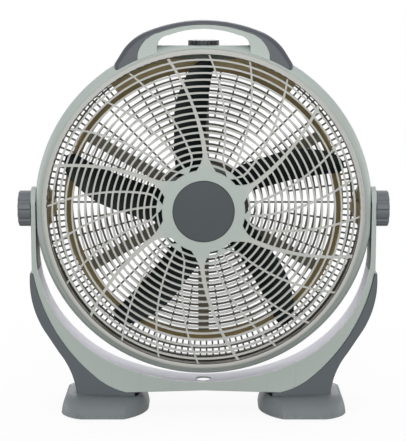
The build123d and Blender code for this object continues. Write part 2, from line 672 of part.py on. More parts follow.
# Handle screws, driven from inside the drum
with BuildPart() as handle_screws:
    for x in HANDLE_SCREW_X:
        skin_z = handle_screw_z(x)
        tube_z(SCREW_R, skin_z, skin_z + HANDLE_SCREW_LENGTH, points=[(-x, 0), (x, 0)])
        tube_z(SCREW_HEAD_R, skin_z - SCREW_HEAD, skin_z, points=[(-x, 0), (x, 0)])

# Dial plate on the deck
with BuildPart() as dial_plate:
    tube_z(DIAL_PLATE_R, AXIS_Z + DECK_RISE, AXIS_Z + DECK_RISE + DIAL_PLATE_DEPTH,
           bore=SWITCH_SHAFT_R + 2 * FIT, points=[(0, DIAL_Y)])

# Speed knob
dial_low_z = AXIS_Z + DECK_RISE + DIAL_PLATE_DEPTH + FIT
dial_top_z = AXIS_Z + DIAL_TOP_RISE
shaft_top_z = dial_top_z - DIAL_CAP
with BuildPart() as speed_knob:
    with BuildSketch(Plane.XY.offset(dial_low_z)):
        with Locations((0, DIAL_Y)):
            Circle(DIAL_R)
            with PolarLocations(DIAL_R + DIAL_FLUTE_R / 2, DIAL_FLUTES):
                Circle(DIAL_FLUTE_R, mode=Mode.SUBTRACT)
    extrude(amount=dial_top_z - dial_low_z)
    knob_rim = speed_knob.faces().sort_by(Axis.Z)[-1].edges()
    chamfer(knob_rim, DIAL_CHAMFER)
    tube_z(SWITCH_SHAFT_R, dial_low_z, shaft_top_z, points=[(0, DIAL_Y)], mode=Mode.SUBTRACT)

# Switch under the deck, and its shaft
with BuildPart() as rotary_switch:
    with BuildSketch(Plane.XY.offset(deck_low_z - SWITCH_DEPTH)):
        with Locations((0, DIAL_Y)):
            RectangleRounded(SWITCH_SIZE, SWITCH_SIZE, SWITCH_CORNER)
            Circle(SWITCH_SHAFT_R + RUN, mode=Mode.SUBTRACT)
    extrude(amount=SWITCH_DEPTH)

with BuildPart() as switch_shaft:
    tube_z(SWITCH_SHAFT_R, deck_low_z - SWITCH_DEPTH, shaft_top_z, points=[(0, DIAL_Y)])

# Box round the switch, screwed up against the deck
switch_cover_low_z = AXIS_Z + SWITCH_COVER_RISE
switch_screw_z = switch_cover_low_z + SWITCH_SCREW_SINK
with BuildPart() as switch_cover:
    slab((-SWITCH_COVER_HALF, SWITCH_COVER_HALF), (SWITCH_COVER_RISE, DECK_RISE - DECK_WALL),
         *SWITCH_COVER_Y)
    cover_inner_half = SWITCH_COVER_HALF - SWITCH_COVER_WALL
    slab((-cover_inner_half, cover_inner_half),
         (SWITCH_COVER_RISE + SWITCH_COVER_WALL, DECK_RISE - DECK_WALL),
         SWITCH_COVER_Y[0] + SWITCH_COVER_WALL, SWITCH_COVER_Y[1] - SWITCH_COVER_WALL,
         mode=Mode.SUBTRACT)
    tube_z(SWITCH_POST_R, switch_cover_low_z, deck_low_z, points=switch_screw_points)
    tube_z(SCREW_R + SCREW_HOLE, switch_cover_low_z, deck_low_z, points=switch_screw_points,
           mode=Mode.SUBTRACT)
    tube_z(SCREW_HEAD_R + FIT, switch_cover_low_z, switch_screw_z, points=switch_screw_points,
           mode=Mode.SUBTRACT)
    tube_y(LEAD_R + FIT, DIAL_Y, SWITCH_COVER_Y[1], points=[(0, LEAD_RISE)], mode=Mode.SUBTRACT)

with BuildPart() as switch_screws:
    tube_z(SCREW_R, switch_screw_z, deck_low_z + SWITCH_SCREW_BITE, points=switch_screw_points)
    tube_z(SCREW_HEAD_R, switch_screw_z - SCREW_HEAD, switch_screw_z, points=switch_screw_points)

# Pivot block in the right side of the drum: a wedge, with a boss in front of it
with BuildPart() as right_pivot_block:
    with BuildSketch(front_plane(RING_PLATE_Y - FIT)):
        with Locations((0, -PIVOT_DROP)):
            Polygon((BLOCK_INNER_X, -BLOCK_INNER_HALF), (flat_inner_x - FIT, -BLOCK_OUTER_HALF),
                    (flat_inner_x - FIT, BLOCK_OUTER_HALF), (BLOCK_INNER_X, BLOCK_INNER_HALF), align=None)
    extrude(amount=RING_PLATE_Y - FIT - BLOCK_FRONT_Y)
    slab((BOSS_INNER_X, flat_inner_x - FIT), (-PIVOT_DROP - BOSS_HALF, -PIVOT_DROP + BOSS_HALF),
         PIVOT_Y - BOSS_HALF, BLOCK_FRONT_Y)
    add(drum_inside, mode=Mode.INTERSECT)
    tube_x(BOLT_HOLE_R, BOSS_INNER_X, flat_inner_x, mode=Mode.SUBTRACT)
    tube_x(INSERT_R, *INSERT_X, mode=Mode.SUBTRACT)

with BuildPart() as left_pivot_block:
    mirror(right_pivot_block.part, about=Plane.YZ)

# Threaded inserts in the pivot blocks
with BuildPart() as pivot_inserts:
    tube_x(INSERT_R, *INSERT_X, bore=BOLT_R + RUN)
    mirror(about=Plane.YZ)

# Friction washers between the drum flats and the arms
with BuildPart() as tilt_washers:
    tube_x(WASHER_R, DRUM_FLAT_X, DRUM_FLAT_X + WASHER_DEPTH, bore=BOLT_HOLE_R)
    mirror(about=Plane.YZ)

# Tilt knob and its bolt, right side
with BuildPart() as right_tilt_knob:
    with BuildSketch(side_plane(TILT_KNOB_INNER_X)):
        Circle(TILT_KNOB_R)
        with PolarLocations(TILT_KNOB_R + TILT_KNOB_FLUTE_R / 2, TILT_KNOB_FLUTES):
            Circle(TILT_KNOB_FLUTE_R, mode=Mode.SUBTRACT)
    extrude(amount=TILT_KNOB_OUTER_X - TILT_KNOB_INNER_X)
    fillet(right_tilt_knob.faces().sort_by(Axis.X)[-1].edges(), TILT_KNOB_ROUND)
    tube_x(BOLT_HEAD_R, TILT_KNOB_INNER_X, BOLT_HEAD_X[1], mode=Mode.SUBTRACT)

with BuildPart() as right_knob_bolt:
    tube_x(BOLT_R, BOLT_INNER_X, BOLT_HEAD_X[0])
    tube_x(BOLT_HEAD_R, *BOLT_HEAD_X)

with BuildPart() as left_tilt_knob:
    mirror(right_tilt_knob.part, about=Plane.YZ)

with BuildPart() as left_knob_bolt:
    mirror(right_knob_bolt.part, about=Plane.YZ)


def yoke_outline(grow):
    """Front view of the yoke, moved out by grow."""
    with BuildSketch() as view:
        with BuildLine():
            Polyline((ARM_INNER_X, ARM_TOP - PIVOT_DROP), (ARM_OUTER_X, ARM_TOP - PIVOT_DROP),
                     (ARM_OUTER_X, LEG_STEP_RISE), YOKE_OUTER[0])
            ThreePointArc(*YOKE_OUTER[0:3])
            ThreePointArc(*YOKE_OUTER[2:5])
            Polyline(YOKE_OUTER[-1], (0, YOKE_BASE_RISE), (0, YOKE_TOP_RISE))
            TangentArc((0, YOKE_TOP_RISE), YOKE_INNER[0], tangent=(1, 0))
            ThreePointArc(*YOKE_INNER[0:3])
            ThreePointArc(*YOKE_INNER[2:5])
            Polyline(YOKE_INNER[-1], (ARM_INNER_X, ARM_STRAIGHT_RISE), (ARM_INNER_X, ARM_TOP - PIVOT_DROP))
        make_face()
        mirror(about=Plane.YZ)
        if grow:
            offset(amount=grow)
    return view.sketch


# Yoke: a channel open at the back, with webs
yoke_rear_y = PIVOT_Y + ARM_HALF
with BuildPart() as yoke:
    with BuildSketch(front_plane(yoke_rear_y)):
        add(yoke_outline(0))
    extrude(amount=2 * ARM_HALF)
    front_edges = yoke.faces().sort_by(Axis.Y)[0].edges()
    fillet(front_edges.filter_by(lambda edge: (edge @ 0.5).Z < AXIS_Z), YOKE_ROUND)
    with BuildSketch(front_plane(yoke_rear_y)):
        add(yoke_outline(-YOKE_WALL))
        with Locations((0, YOKE_SOLID_RISE)):
            Rectangle(2 * SPREAD, SPREAD, align=(Align.CENTER, Align.MIN), mode=Mode.SUBTRACT)
        for x in YOKE_WEB_X:
            with Locations((-x, -AXIS_Z), (x, -AXIS_Z)):
                Rectangle(YOKE_WALL, AXIS_Z, align=(Align.CENTER, Align.MIN), mode=Mode.SUBTRACT)
    extrude(amount=2 * ARM_HALF - YOKE_WALL, mode=Mode.SUBTRACT)
    with BuildSketch(side_plane(-SPREAD)):
        with Locations((0, ARM_TOP - ARM_HALF)):
            Rectangle(2 * ARM_HALF, ARM_HALF, align=(Align.CENTER, Align.MIN))
            Circle(ARM_HALF, mode=Mode.SUBTRACT)
    extrude(amount=2 * SPREAD, mode=Mode.SUBTRACT)
    tube_x(BOLT_HOLE_R, -SPREAD, SPREAD, mode=Mode.SUBTRACT)
    tube_z(YOKE_HOLE_R, AXIS_Z + YOKE_TOP_RISE - 2 * YOKE_WALL, AXIS_Z, points=[(0, YOKE_HOLE_Y)],
           mode=Mode.SUBTRACT)


def leg_outline():
    """Front view of the right leg, cut to hug the yoke."""
    with BuildSketch() as view:
        with BuildLine():
            ThreePointArc(*LEG_OUTER[0:3])
            Line(LEG_OUTER[2], LEG_OUTER[3])
            ThreePointArc(*LEG_OUTER[3:6])
            Polyline(LEG_OUTER[5], (leg_outer_x, leg_seat_rise), (LEG_INNER_X, leg_seat_rise), *LEG_INSET,
                     LEG_OUTER[0])
        make_face()
        add(yoke_outline(FIT), mode=Mode.SUBTRACT)
    return view.sketch


# Right leg, standing in its foot; a channel open at the back
leg_seat_rise = LEG_SEAT_Z + FIT - AXIS_Z
leg_outer_x = LEG_OUTER[-1][0]
leg_screw_points = [(x, PIVOT_Y) for x in LEG_SCREW_X]
leg_rear_y = PIVOT_Y + LEG_HALF
with BuildPart() as right_leg:
    with BuildSketch(front_plane(leg_rear_y)):
        add(leg_outline())
    extrude(amount=2 * LEG_HALF)
    front_edges = right_leg.faces().sort_by(Axis.Y)[0].edges()
    fillet(front_edges.filter_by(lambda edge: (edge @ 0.5).X > leg_outer_x + FIT), LEG_ROUND)
    with BuildSketch(front_plane(leg_rear_y)):
        add(leg_outline())
        offset(amount=-LEG_WALL, mode=Mode.REPLACE)
        with Locations((0, LEG_SOLID_RISE)):
            Rectangle(2 * SPREAD, SPREAD, align=(Align.CENTER, Align.MAX), mode=Mode.SUBTRACT)
    extrude(amount=2 * LEG_HALF - LEG_WALL, mode=Mode.SUBTRACT)
    tube_z(SCREW_R + SCREW_HOLE, LEG_SEAT_Z, LEG_SEAT_Z + LEG_SCREW_RISE + FIT, points=leg_screw_points,
           mode=Mode.SUBTRACT)

with BuildPart() as left_leg:
    mirror(right_leg.part, about=Plane.YZ)


def foot_plan(sizes, inset=0.0):
    """Plan of the right foot at one height, moved in by inset."""
    inner_x, outer_x, half, (front_inner, front_outer), sides, bows = sizes
    side_inner, side_outer = sides
    bow_inner, bow_outer = bows
    with BuildSketch() as plan:
        with BuildLine():
            Line((front_inner, -half), (front_outer, -half))
            SagittaArc((front_outer, -half), (outer_x, -side_outer), -bow_outer)
            Line((outer_x, -side_outer), (outer_x, side_outer))
            SagittaArc((outer_x, side_outer), (front_outer, half), -bow_outer)
            Line((front_outer, half), (front_inner, half))
            SagittaArc((front_inner, half), (inner_x, side_inner), -bow_inner)
            Line((inner_x, side_inner), (inner_x, -side_inner))
            SagittaArc((inner_x, -side_inner), (front_inner, -half), -bow_inner)
        make_face()
        if inset:
            offset(amount=-inset)
    return plan.sketch


# Right foot: a low loaf with a socket for the leg and seats for the pads
foot_outer_x = FOOT_TOP[1]
foot_top = Pos(foot_outer_x, PIVOT_Y, FOOT_TOP_Z) * Rot(0, -FOOT_TOP_FALL, 0) * Pos(-foot_outer_x, 0, 0)
socket_outer_x = leg_outer_x + FIT
socket_half = LEG_HALF + FIT
with BuildPart() as right_foot:
    loft([(Pos(0, 0, PAD_Z) * foot_plan(FOOT_BASE)).faces()[0],
          (Pos(0, 0, FOOT_SHOULDER_Z) * foot_plan(FOOT_SHOULDER)).faces()[0],
          (foot_top * foot_plan(FOOT_TOP)).faces()[0]])
    with BuildSketch(Plane.XY.offset(PAD_Z)):
        add(foot_plan(FOOT_BASE, FOOT_WALL))
        with Locations(*PAD_POSTS):
            Circle(PAD_R + POST_WALL, mode=Mode.SUBTRACT)
    extrude(amount=FOOT_CAVITY_Z - PAD_Z, mode=Mode.SUBTRACT)
    with BuildSketch(Plane.XY.offset(LEG_SEAT_Z)):
        with Locations((0, PIVOT_Y)):
            Polygon((LEG_INNER_X - SOCKET_NOTCH[0], -socket_half), (socket_outer_x, -socket_half),
                    (socket_outer_x, socket_half), (LEG_INNER_X - SOCKET_NOTCH[1], socket_half),
                    align=None)
    extrude(amount=FOOT_TOP_Z, mode=Mode.SUBTRACT)
    tube_z(PAD_R + SCREW_HOLE, PAD_Z, PAD_Z + PAD_SINK, points=PAD_POSTS, mode=Mode.SUBTRACT)
    tube_z(SCREW_R + SCREW_HOLE, PAD_Z, FOOT_TOP_Z, points=leg_screw_points, mode=Mode.SUBTRACT)

with BuildPart() as left_foot:
    mirror(right_foot.part, about=Plane.YZ)

# Rubber pads under the feet
with BuildPart() as foot_pads:
    tube_z(PAD_R, 0, PAD_Z + PAD_SINK, points=PAD_POSTS)
    mirror(about=Plane.YZ)

# Screws from the feet into the legs
with BuildPart() as leg_screws:
    tube_z(SCREW_R, FOOT_CAVITY_Z, LEG_SEAT_Z + LEG_SCREW_RISE, points=leg_screw_points)
    tube_z(SCREW_HEAD_R, FOOT_CAVITY_Z - SCREW_HEAD, FOOT_CAVITY_Z, points=leg_screw_points)
    mirror(about=Plane.YZ)

# Motor bells, bolted together round the stator
bolt_points = spread(MOTOR_SCREW_COUNT, MOTOR_BOLT_R)
housing_r = BEARING_R + BEARING_WALL
front_bearing_y = (BELL_FRONT_Y - BEARING_PROUD, BELL_FRONT_Y - BEARING_PROUD + BEARING_LENGTH)
rear_bearing_y = (BELL_REAR_Y + BEARING_PROUD - BEARING_LENGTH, BELL_REAR_Y + BEARING_PROUD)
with BuildPart() as front_bell:
    tube_y(MOTOR_R, BELL_FRONT_Y, BELL_SPLIT_Y)
    tube_y(FLANGE_R, PLATE_Y - FLANGE_DEPTH, PLATE_Y)
    tube_y(STATOR_R + SCREW_HOLE, BELL_FRONT_Y + BELL_WALL, BELL_SPLIT_Y, mode=Mode.SUBTRACT)
    tube_y(housing_r, *front_bearing_y)
    tube_y(BEARING_R + RUN, *front_bearing_y, mode=Mode.SUBTRACT)
    tube_y(SCREW_R + SCREW_HOLE, BELL_FRONT_Y, BELL_SPLIT_Y, points=bolt_points, mode=Mode.SUBTRACT)
    tube_y(SCREW_R + SCREW_HOLE, BELL_FRONT_Y, PLATE_Y, points=motor_screw_points, mode=Mode.SUBTRACT)

with BuildPart() as rear_bell:
    tube_y(MOTOR_R, BELL_SPLIT_Y, BELL_REAR_Y)
    tube_y(STATOR_R + SCREW_HOLE, BELL_SPLIT_Y, BELL_REAR_Y - BELL_WALL, mode=Mode.SUBTRACT)
    tube_y(housing_r, *rear_bearing_y)
    tube_y(BEARING_R + RUN, *rear_bearing_y, mode=Mode.SUBTRACT)
    tube_y(SCREW_R + SCREW_HOLE, BELL_SPLIT_Y, BELL_REAR_Y, points=bolt_points, mode=Mode.SUBTRACT)

with BuildPart() as front_bearing:
    tube_y(BEARING_R, *front_bearing_y, bore=SHAFT_R + RUN)

with BuildPart() as rear_bearing:
    tube_y(BEARING_R, *rear_bearing_y, bore=SHAFT_R + RUN)

with BuildPart() as stator_core:
    tube_y(STATOR_R, *STATOR_Y, bore=ROTOR_R + AIR_GAP)

with BuildPart() as stator_coils:
    tube_y(COIL_R[1], STATOR_Y[0] - COIL_REACH, STATOR_Y[0], bore=COIL_R[0])
    tube_y(COIL_R[1], STATOR_Y[1], STATOR_Y[1] + COIL_REACH, bore=COIL_R[0])

with BuildPart() as motor_bolts:
    tube_y(SCREW_R, BELL_FRONT_Y, BELL_REAR_Y, points=bolt_points)
    tube_y(SCREW_HEAD_R, BELL_REAR_Y, BELL_REAR_Y + SCREW_HEAD, points=bolt_points)

with BuildPart() as motor_screws:
    tube_y(SCREW_R, PLATE_Y - FLANGE_DEPTH, plate_rear_y, points=motor_screw_points)
    tube_y(SCREW_HEAD_R, PLATE_Y - FLANGE_DEPTH - SCREW_HEAD, PLATE_Y - FLANGE_DEPTH,
           points=motor_screw_points)

# Rotor, shaft and thrust washers
with BuildPart() as motor_shaft:
    tube_y(SHAFT_R, *SHAFT_Y)
    with BuildSketch(Plane.YZ.offset(-PIN_HALF)):
        with Locations((PIN_Y, AXIS_Z)):
            Circle(PIN_R)
    extrude(amount=2 * PIN_HALF, mode=Mode.SUBTRACT)

with BuildPart() as rotor:
    tube_y(ROTOR_R, *STATOR_Y, bore=SHAFT_R)

with BuildPart() as thrust_washers:
    tube_y(THRUST_R, front_bearing_y[0] - FIT - THRUST_DEPTH, front_bearing_y[0] - FIT, bore=SHAFT_R)
    tube_y(THRUST_R, rear_bearing_y[1] + FIT, rear_bearing_y[1] + FIT + THRUST_DEPTH, bore=SHAFT_R)

with BuildPart() as drive_pin:
    with BuildSketch(Plane.YZ.offset(-PIN_HALF)):
        with Locations((PIN_Y, AXIS_Z)):
            Circle(PIN_R)
    extrude(amount=2 * PIN_HALF)


def sweep_share(reach, start):
    """Share of an edge's sweep that is reached at a distance from the fan axis."""
    return max(0.0, (reach - start) / (BLADE_TIP_R - start)) ** 2


def blade_section(reach):
    """Section of the upright blade at a distance from the fan axis."""
    clockwise = -BLADE_LEAD_X - BLADE_LEAD_SWEEP * sweep_share(reach, BLADE_LEAD_START)
    counter = BLADE_TRAIL_X - BLADE_TRAIL_SWEEP * sweep_share(reach, BLADE_TRAIL_START)
    into_tip = max(0.0, (reach - BLADE_ROUND_R) / (BLADE_CLOSE_R - BLADE_ROUND_R))
    shrink = sqrt(1.0 - into_tip ** 2)
    half = (counter - clockwise) / 2 * shrink
    middle = (counter + clockwise) / 2
    share = (reach - BLADE_STATIONS[0]) / (BLADE_STATIONS[-1] - BLADE_STATIONS[0])
    pitch = BLADE_ROOT_PITCH + (BLADE_TIP_PITCH - BLADE_ROOT_PITCH) * share
    drop = half * tan(radians(pitch))
    camber = BLADE_CAMBER * shrink
    with BuildSketch(Plane.XY.offset(AXIS_Z + reach)) as section:
        with BuildLine():
            lead = (-middle + half, BLADE_Y + drop)
            trail = (-middle - half, BLADE_Y - drop)
            upper = [(lead[0], lead[1] - BLADE_EDGE / 2), (-middle, BLADE_Y - camber - BLADE_DEPTH / 2),
                     (trail[0], trail[1] - BLADE_EDGE / 2)]
            lower = [(trail[0], trail[1] + BLADE_EDGE / 2), (-middle, BLADE_Y - camber + BLADE_DEPTH / 2),
                     (lead[0], lead[1] + BLADE_EDGE / 2)]
            ThreePointArc(*upper)
            Line(upper[-1], lower[0])
            ThreePointArc(*lower)
            Line(lower[-1], upper[0])
        make_face()
    return section.sketch


# One blade, then the impeller
with BuildPart() as blade:
    loft([blade_section(reach).faces()[0] for reach in BLADE_STATIONS])

with BuildPart() as impeller:
    for index in range(BLADE_COUNT):
        add(blade.part.rotate(FAN_AXIS, 360.0 * index / BLADE_COUNT))
    tube_y(SPINNER_R, *SPINNER_Y)
    tube_y(SPINNER_R - SPINNER_WALL, SPINNER_Y[0] + SPINNER_WALL, SPREAD, mode=Mode.SUBTRACT)
    tube_y(BLADE_BOSS_R, SPINNER_Y[0], BLADE_BOSS_REAR_Y)
    tube_y(SHAFT_R, SPINNER_Y[0], BLADE_BOSS_REAR_Y, mode=Mode.SUBTRACT)
    slab((-SPINNER_R, SPINNER_R), (-PIN_R - SCREW_HOLE, PIN_R + SCREW_HOLE), PIN_Y - PIN_R - SCREW_HOLE,
         BLADE_BOSS_REAR_Y, mode=Mode.SUBTRACT)

# Nut that holds the impeller on the shaft
with BuildPart() as blade_nut:
    button(NUT_R, SPINNER_Y[0] - NUT_LENGTH, SPINNER_Y[0], NUT_ROUND)
    tube_y(SHAFT_R, SHAFT_Y[0], SPINNER_Y[0], mode=Mode.SUBTRACT)

# Motor cover with vents, screw ears and a hole for the gland
gland_low_z = AXIS_Z - COVER_R - GLAND_LENGTH / 2
ear_rear_y = plate_rear_y + COVER_WALL
with BuildPart() as motor_cover:
    button(COVER_R, COVER_Y, plate_rear_y, COVER_EDGE)
    tube_y(EAR_R, plate_rear_y, ear_rear_y, points=ear_points)
    tube_y(COVER_R - COVER_WALL, plate_rear_y, COVER_Y - COVER_WALL, mode=Mode.SUBTRACT)
    with BuildSketch(front_plane(COVER_Y)):
        with GridLocations(VENT_PITCH, 0, VENT_COUNT, 1):
            SlotOverall(2 * VENT_HALF_REACH, VENT_WIDTH, rotation=90)
    extrude(amount=COVER_WALL, mode=Mode.SUBTRACT)
    tube_y(SCREW_R + SCREW_HOLE, plate_rear_y, ear_rear_y, points=ear_points, mode=Mode.SUBTRACT)
    tube_z(GLAND_R + SCREW_HOLE, gland_low_z, AXIS_Z, points=[(0, GLAND_Y)], mode=Mode.SUBTRACT)
    tube_z(LEAD_R + FIT, AXIS_Z, AXIS_Z + COVER_R, points=[(0, LEAD_Y)], mode=Mode.SUBTRACT)

with BuildPart() as cover_screws:
    tube_y(SCREW_R, PLATE_Y, ear_rear_y, points=ear_points)
    tube_y(SCREW_HEAD_R, ear_rear_y, ear_rear_y + SCREW_HEAD, points=ear_points)

with BuildPart() as cord_gland:
    tube_z(GLAND_R, gland_low_z, gland_low_z + GLAND_LENGTH, points=[(0, GLAND_Y)])
    tube_z(GLAND_FLANGE_R, gland_low_z - COVER_WALL, gland_low_z + COVER_WALL, points=[(0, GLAND_Y)])
    tube_z(GLAND_BORE_R, gland_low_z - COVER_WALL, gland_low_z + GLAND_LENGTH, points=[(0, GLAND_Y)],
           mode=Mode.SUBTRACT)

with BuildPart() as capacitor:
    slab(CAPACITOR_X, (-CAPACITOR_HALF, CAPACITOR_HALF), plate_rear_y, plate_rear_y + CAPACITOR_DEPTH)

# Lead along the back of the top strut, and its cover
switch_rear_y = DIAL_Y + SWITCH_SIZE / 2
with BuildPart() as switch_lead:
    with BuildLine(Plane.YZ) as lead_path:
        FilletPolyline((switch_rear_y + FIT, AXIS_Z + LEAD_RISE), (LEAD_Y, AXIS_Z + LEAD_RISE),
                       (LEAD_Y, AXIS_Z + LEAD_LOW_RISE), radius=LEAD_BEND)
    with BuildSketch(front_plane(switch_rear_y + FIT)):
        with Locations((0, LEAD_RISE)):
            Circle(LEAD_R)
    sweep()

lead_cover_half = LEAD_R + FIT + LEAD_COVER_WALL
with BuildPart() as lead_cover:
    slab((-lead_cover_half, lead_cover_half), LEAD_COVER_RISE, plate_rear_y + STRUT_DEPTH,
         LEAD_Y + LEAD_R + FIT + LEAD_COVER_WALL)
    slab((-LEAD_R - FIT, LEAD_R + FIT), LEAD_COVER_RISE, plate_rear_y + STRUT_DEPTH, LEAD_Y + LEAD_R + FIT,
         mode=Mode.SUBTRACT)

PIECES = {
    "yoke": yoke, "left_leg": left_leg, "right_leg": right_leg, "left_foot": left_foot,
    "right_foot": right_foot, "foot_pads": foot_pads, "leg_screws": leg_screws,
    "drum": drum, "front_grille": front_grille, "hub_badge": hub_badge, "rear_grille": rear_grille,
    "case_screws": case_screws, "handle_frame": handle_frame, "handle_cover": handle_cover,
    "handle_screws": handle_screws, "dial_plate": dial_plate, "speed_knob": speed_knob,
    "rotary_switch": rotary_switch, "switch_shaft": switch_shaft,
    "switch_cover": switch_cover, "switch_screws": switch_screws,
    "left_pivot_block": left_pivot_block, "right_pivot_block": right_pivot_block,
    "pivot_inserts": pivot_inserts, "tilt_washers": tilt_washers,
    "left_tilt_knob": left_tilt_knob, "right_tilt_knob": right_tilt_knob,
    "left_knob_bolt": left_knob_bolt, "right_knob_bolt": right_knob_bolt,
    "front_bell": front_bell, "rear_bell": rear_bell, "front_bearing": front_bearing,
    "rear_bearing": rear_bearing, "stator_core": stator_core, "stator_coils": stator_coils,
    "motor_bolts": motor_bolts, "motor_screws": motor_screws, "motor_shaft": motor_shaft, "rotor": rotor,
    "thrust_washers": thrust_washers, "drive_pin": drive_pin, "impeller": impeller, "blade_nut": blade_nut,
    "motor_cover": motor_cover, "cover_screws": cover_screws, "cord_gland": cord_gland,
    "capacitor": capacitor, "switch_lead": switch_lead, "lead_cover": lead_cover,
}
for name, piece in PIECES.items():
    piece.part.label = name
    export_step(piece.part, f"parts/{name}.step", write_pcurves=False)
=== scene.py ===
import json
import math

import bmesh
import bpy
from mathutils import Matrix, Vector


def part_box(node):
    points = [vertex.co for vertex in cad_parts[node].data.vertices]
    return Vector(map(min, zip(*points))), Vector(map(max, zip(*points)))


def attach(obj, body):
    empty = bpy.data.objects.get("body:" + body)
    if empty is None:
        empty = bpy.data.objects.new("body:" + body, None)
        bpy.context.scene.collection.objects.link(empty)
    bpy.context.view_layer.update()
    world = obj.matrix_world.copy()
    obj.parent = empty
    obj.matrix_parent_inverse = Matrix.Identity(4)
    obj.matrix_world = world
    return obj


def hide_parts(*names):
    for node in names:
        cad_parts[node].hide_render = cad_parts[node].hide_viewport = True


bl_info = {
    "name": "Drum fan looks",
    "version": (1, 0, 0),
    "blender": (4, 5, 0),
    "location": "3D View > Sidebar > Drum fan",
    "description": "Finishes, fine details and studio for a drum fan on a yoke stand",
    "category": "Object",
}

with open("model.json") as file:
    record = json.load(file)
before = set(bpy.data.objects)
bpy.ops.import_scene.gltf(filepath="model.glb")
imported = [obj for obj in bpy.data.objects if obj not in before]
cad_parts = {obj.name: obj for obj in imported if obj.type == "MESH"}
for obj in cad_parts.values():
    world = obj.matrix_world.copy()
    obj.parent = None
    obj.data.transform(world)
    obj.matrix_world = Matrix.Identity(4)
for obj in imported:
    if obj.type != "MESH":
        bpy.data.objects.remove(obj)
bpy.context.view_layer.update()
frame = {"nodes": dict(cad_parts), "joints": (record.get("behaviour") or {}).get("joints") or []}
NODES = frame["nodes"]


def joint(name):
    """Row of a joint of the frame."""
    return next(row for row in frame["joints"] if row["name"] == name)


FAN_AXIS = Vector(joint("fan_spin")["pos_m"])
WHITE = (1.0, 1.0, 1.0, 1.0)

# Sockets of the colour mix node.
MIX_SHARE, MIX_FIRST, MIX_SECOND, MIX_RESULT = 0, 6, 7, 2

# Noise detail, from fine grain to patches.
FINE, SOFT, PATCHY = 2.0, 3.0, 4.0

# Moulded plastic.
EDGE_SAMPLES = 6
GRAIN_TINT = 0.5
ROUGH_DROP = 0.05
ROUGH_SWING = 0.06
MARK_SHADE = 0.55
MARK_ROUGH = 0.15
SHELL_FINISH = {"roughness": 0.42, "variation": 0.03}

# Metal; the stretches draw its fine lines out along an axis.
METAL_EDGE = 0.0003
METAL_SCRATCH_SIZE = 0.0009
METAL_SCRATCH_DEPTH = 0.00002
METAL_SCRATCH_SHARE = 0.4
METAL_SCRATCH_SHADE = 0.8
METAL_CLOUD_SIZE = 0.012
METAL_CLOUD_SHADES = (0.86, 1.08)
METAL_ROUGH_DROP = 0.08
METAL_ROUGH_SWING = 0.16
TURNED = (1.0, 0.2, 1.0)
CAST = (1.0, 1.0, 1.0)
STACKED = (0.2, 3.0, 0.2)
WOUND = (0.2, 2.0, 0.2)

# Marks: painted shade on the yoke over its webs where sink marks dip, scuffs on the feet, and dust
# on the parts that the air passes.
YOKE_WEBS = (0.052, 0.104, 0.150)
SINK_SHADE_STRENGTH = 0.12
SCUFF_SIZE = 0.006
SCUFF_STOPS = ((0.45, 0.0), (0.7, 1.0))
SCUFF_STRENGTH = 0.7
DUST_SIZE = 0.035
DUST_STOPS = ((0.42, 0.0), (0.75, 1.0))
DUST_STRENGTH = 0.25

# Places where painted shade and painted light change a moulding's tone: distances from the fan's
# axis, shares and sines.
GUARD_RING_R = 0.243
RING_LIGHT_STOPS = ((0.28, 0.0), (0.38, 1.0))
FACING_AXIS = 0.5
ARM_RISE = -0.1
STEP_R = (0.2172, 0.2288)
BLANK_SINE = 0.788
GROOVE_R = 0.0487
GROOVE_HALF = 0.0007

# Half outlines of the handle, across and up from the fan's axis, and the drum's shoulder,
# as pairs of a radius and a place on Y.
HANDLE_OUTER = ((0.0, 0.2996), (0.0942, 0.2804), (0.1144, 0.2673), (0.1271, 0.2531),
                (0.1405, 0.2315), (0.1405, 0.2050))
HANDLE_SEAM = ((0.0, 0.2933), (0.0692, 0.2812), (0.0942, 0.2659), (0.1036, 0.2472),
               (0.1036, 0.2050))
DRUM_SHOULDER = ((0.2703, -0.0320), (0.2668, -0.0440), (0.2578, -0.0520))
COVER_ROUND_SHARE = 0.85
SEAM_GAP = 0.0003
FOOT_POWER = 6

# Fineness of the meshes.
DRUM_FACETS = 360
SCREW_FACETS = 32
COVER_STATIONS = 60
ARC_STEPS = 24
ROUND_STEPS = 8
FLAT_STEPS = 4
TEXT_STEPS = 4
SHARP_ANGLE = math.radians(35.0)
WELD = 1e-6
LATHE_WELD = 1e-5

# Speed knob and screws; all but the count and the width are shares of a piece's own size.
SPEED_SETTINGS = 4
NUMERAL_OFFSET = 0.8
POINTER_SPAN = (0.45, 0.86)
POINTER_WIDTH = 0.0016
SCREW_RIM_SHARE = 0.35
RECESS_REACH = 0.55
RECESS_WIDTH = 0.26
RECESS_TAPER = 0.45

# Studio: lamps with place, side, power setting and colour, then floor, sky and camera.
LAMP_TARGET = (0.0, 0.0, 0.33)
LAMPS = {
    "top_lamp": ((0.0, -0.3, 2.6), 2.0, "top_power", (0.96, 0.95, 1.0)),
    "front_lamp": ((0.0, -2.8, 0.7), 1.6, "front_power", (1.0, 1.0, 0.98)),
    "back_lamp": ((0.0, 2.4, 0.9), 1.8, "back_power", (0.95, 0.93, 1.0)),
    "left_lamp": ((-2.1, 0.7, 0.45), 1.2, "side_power", (0.98, 1.0, 1.0)),
    "right_lamp": ((2.1, 0.7, 0.45), 1.2, "side_power", (0.98, 1.0, 1.0)),
}
FLOOR_SIDE = 60.0
FLOOR_REACH = 2.0
FLOOR_GLOW = ((0.15, 0.9), (0.6, 1.0))
SKY_TINT = (0.97, 0.96, 1.0, 1.0)
IMAGE_WIDTH = 406
IMAGE_HEIGHT = 441
SENSOR_WIDTH = 36.0
VIEW_LIMIT = 200.0
RIM_CENTRE = Vector((0.0, -0.038, 0.334))
CAMERA_ASIDE = -0.00096
CAMERA_BELOW = 0.0179


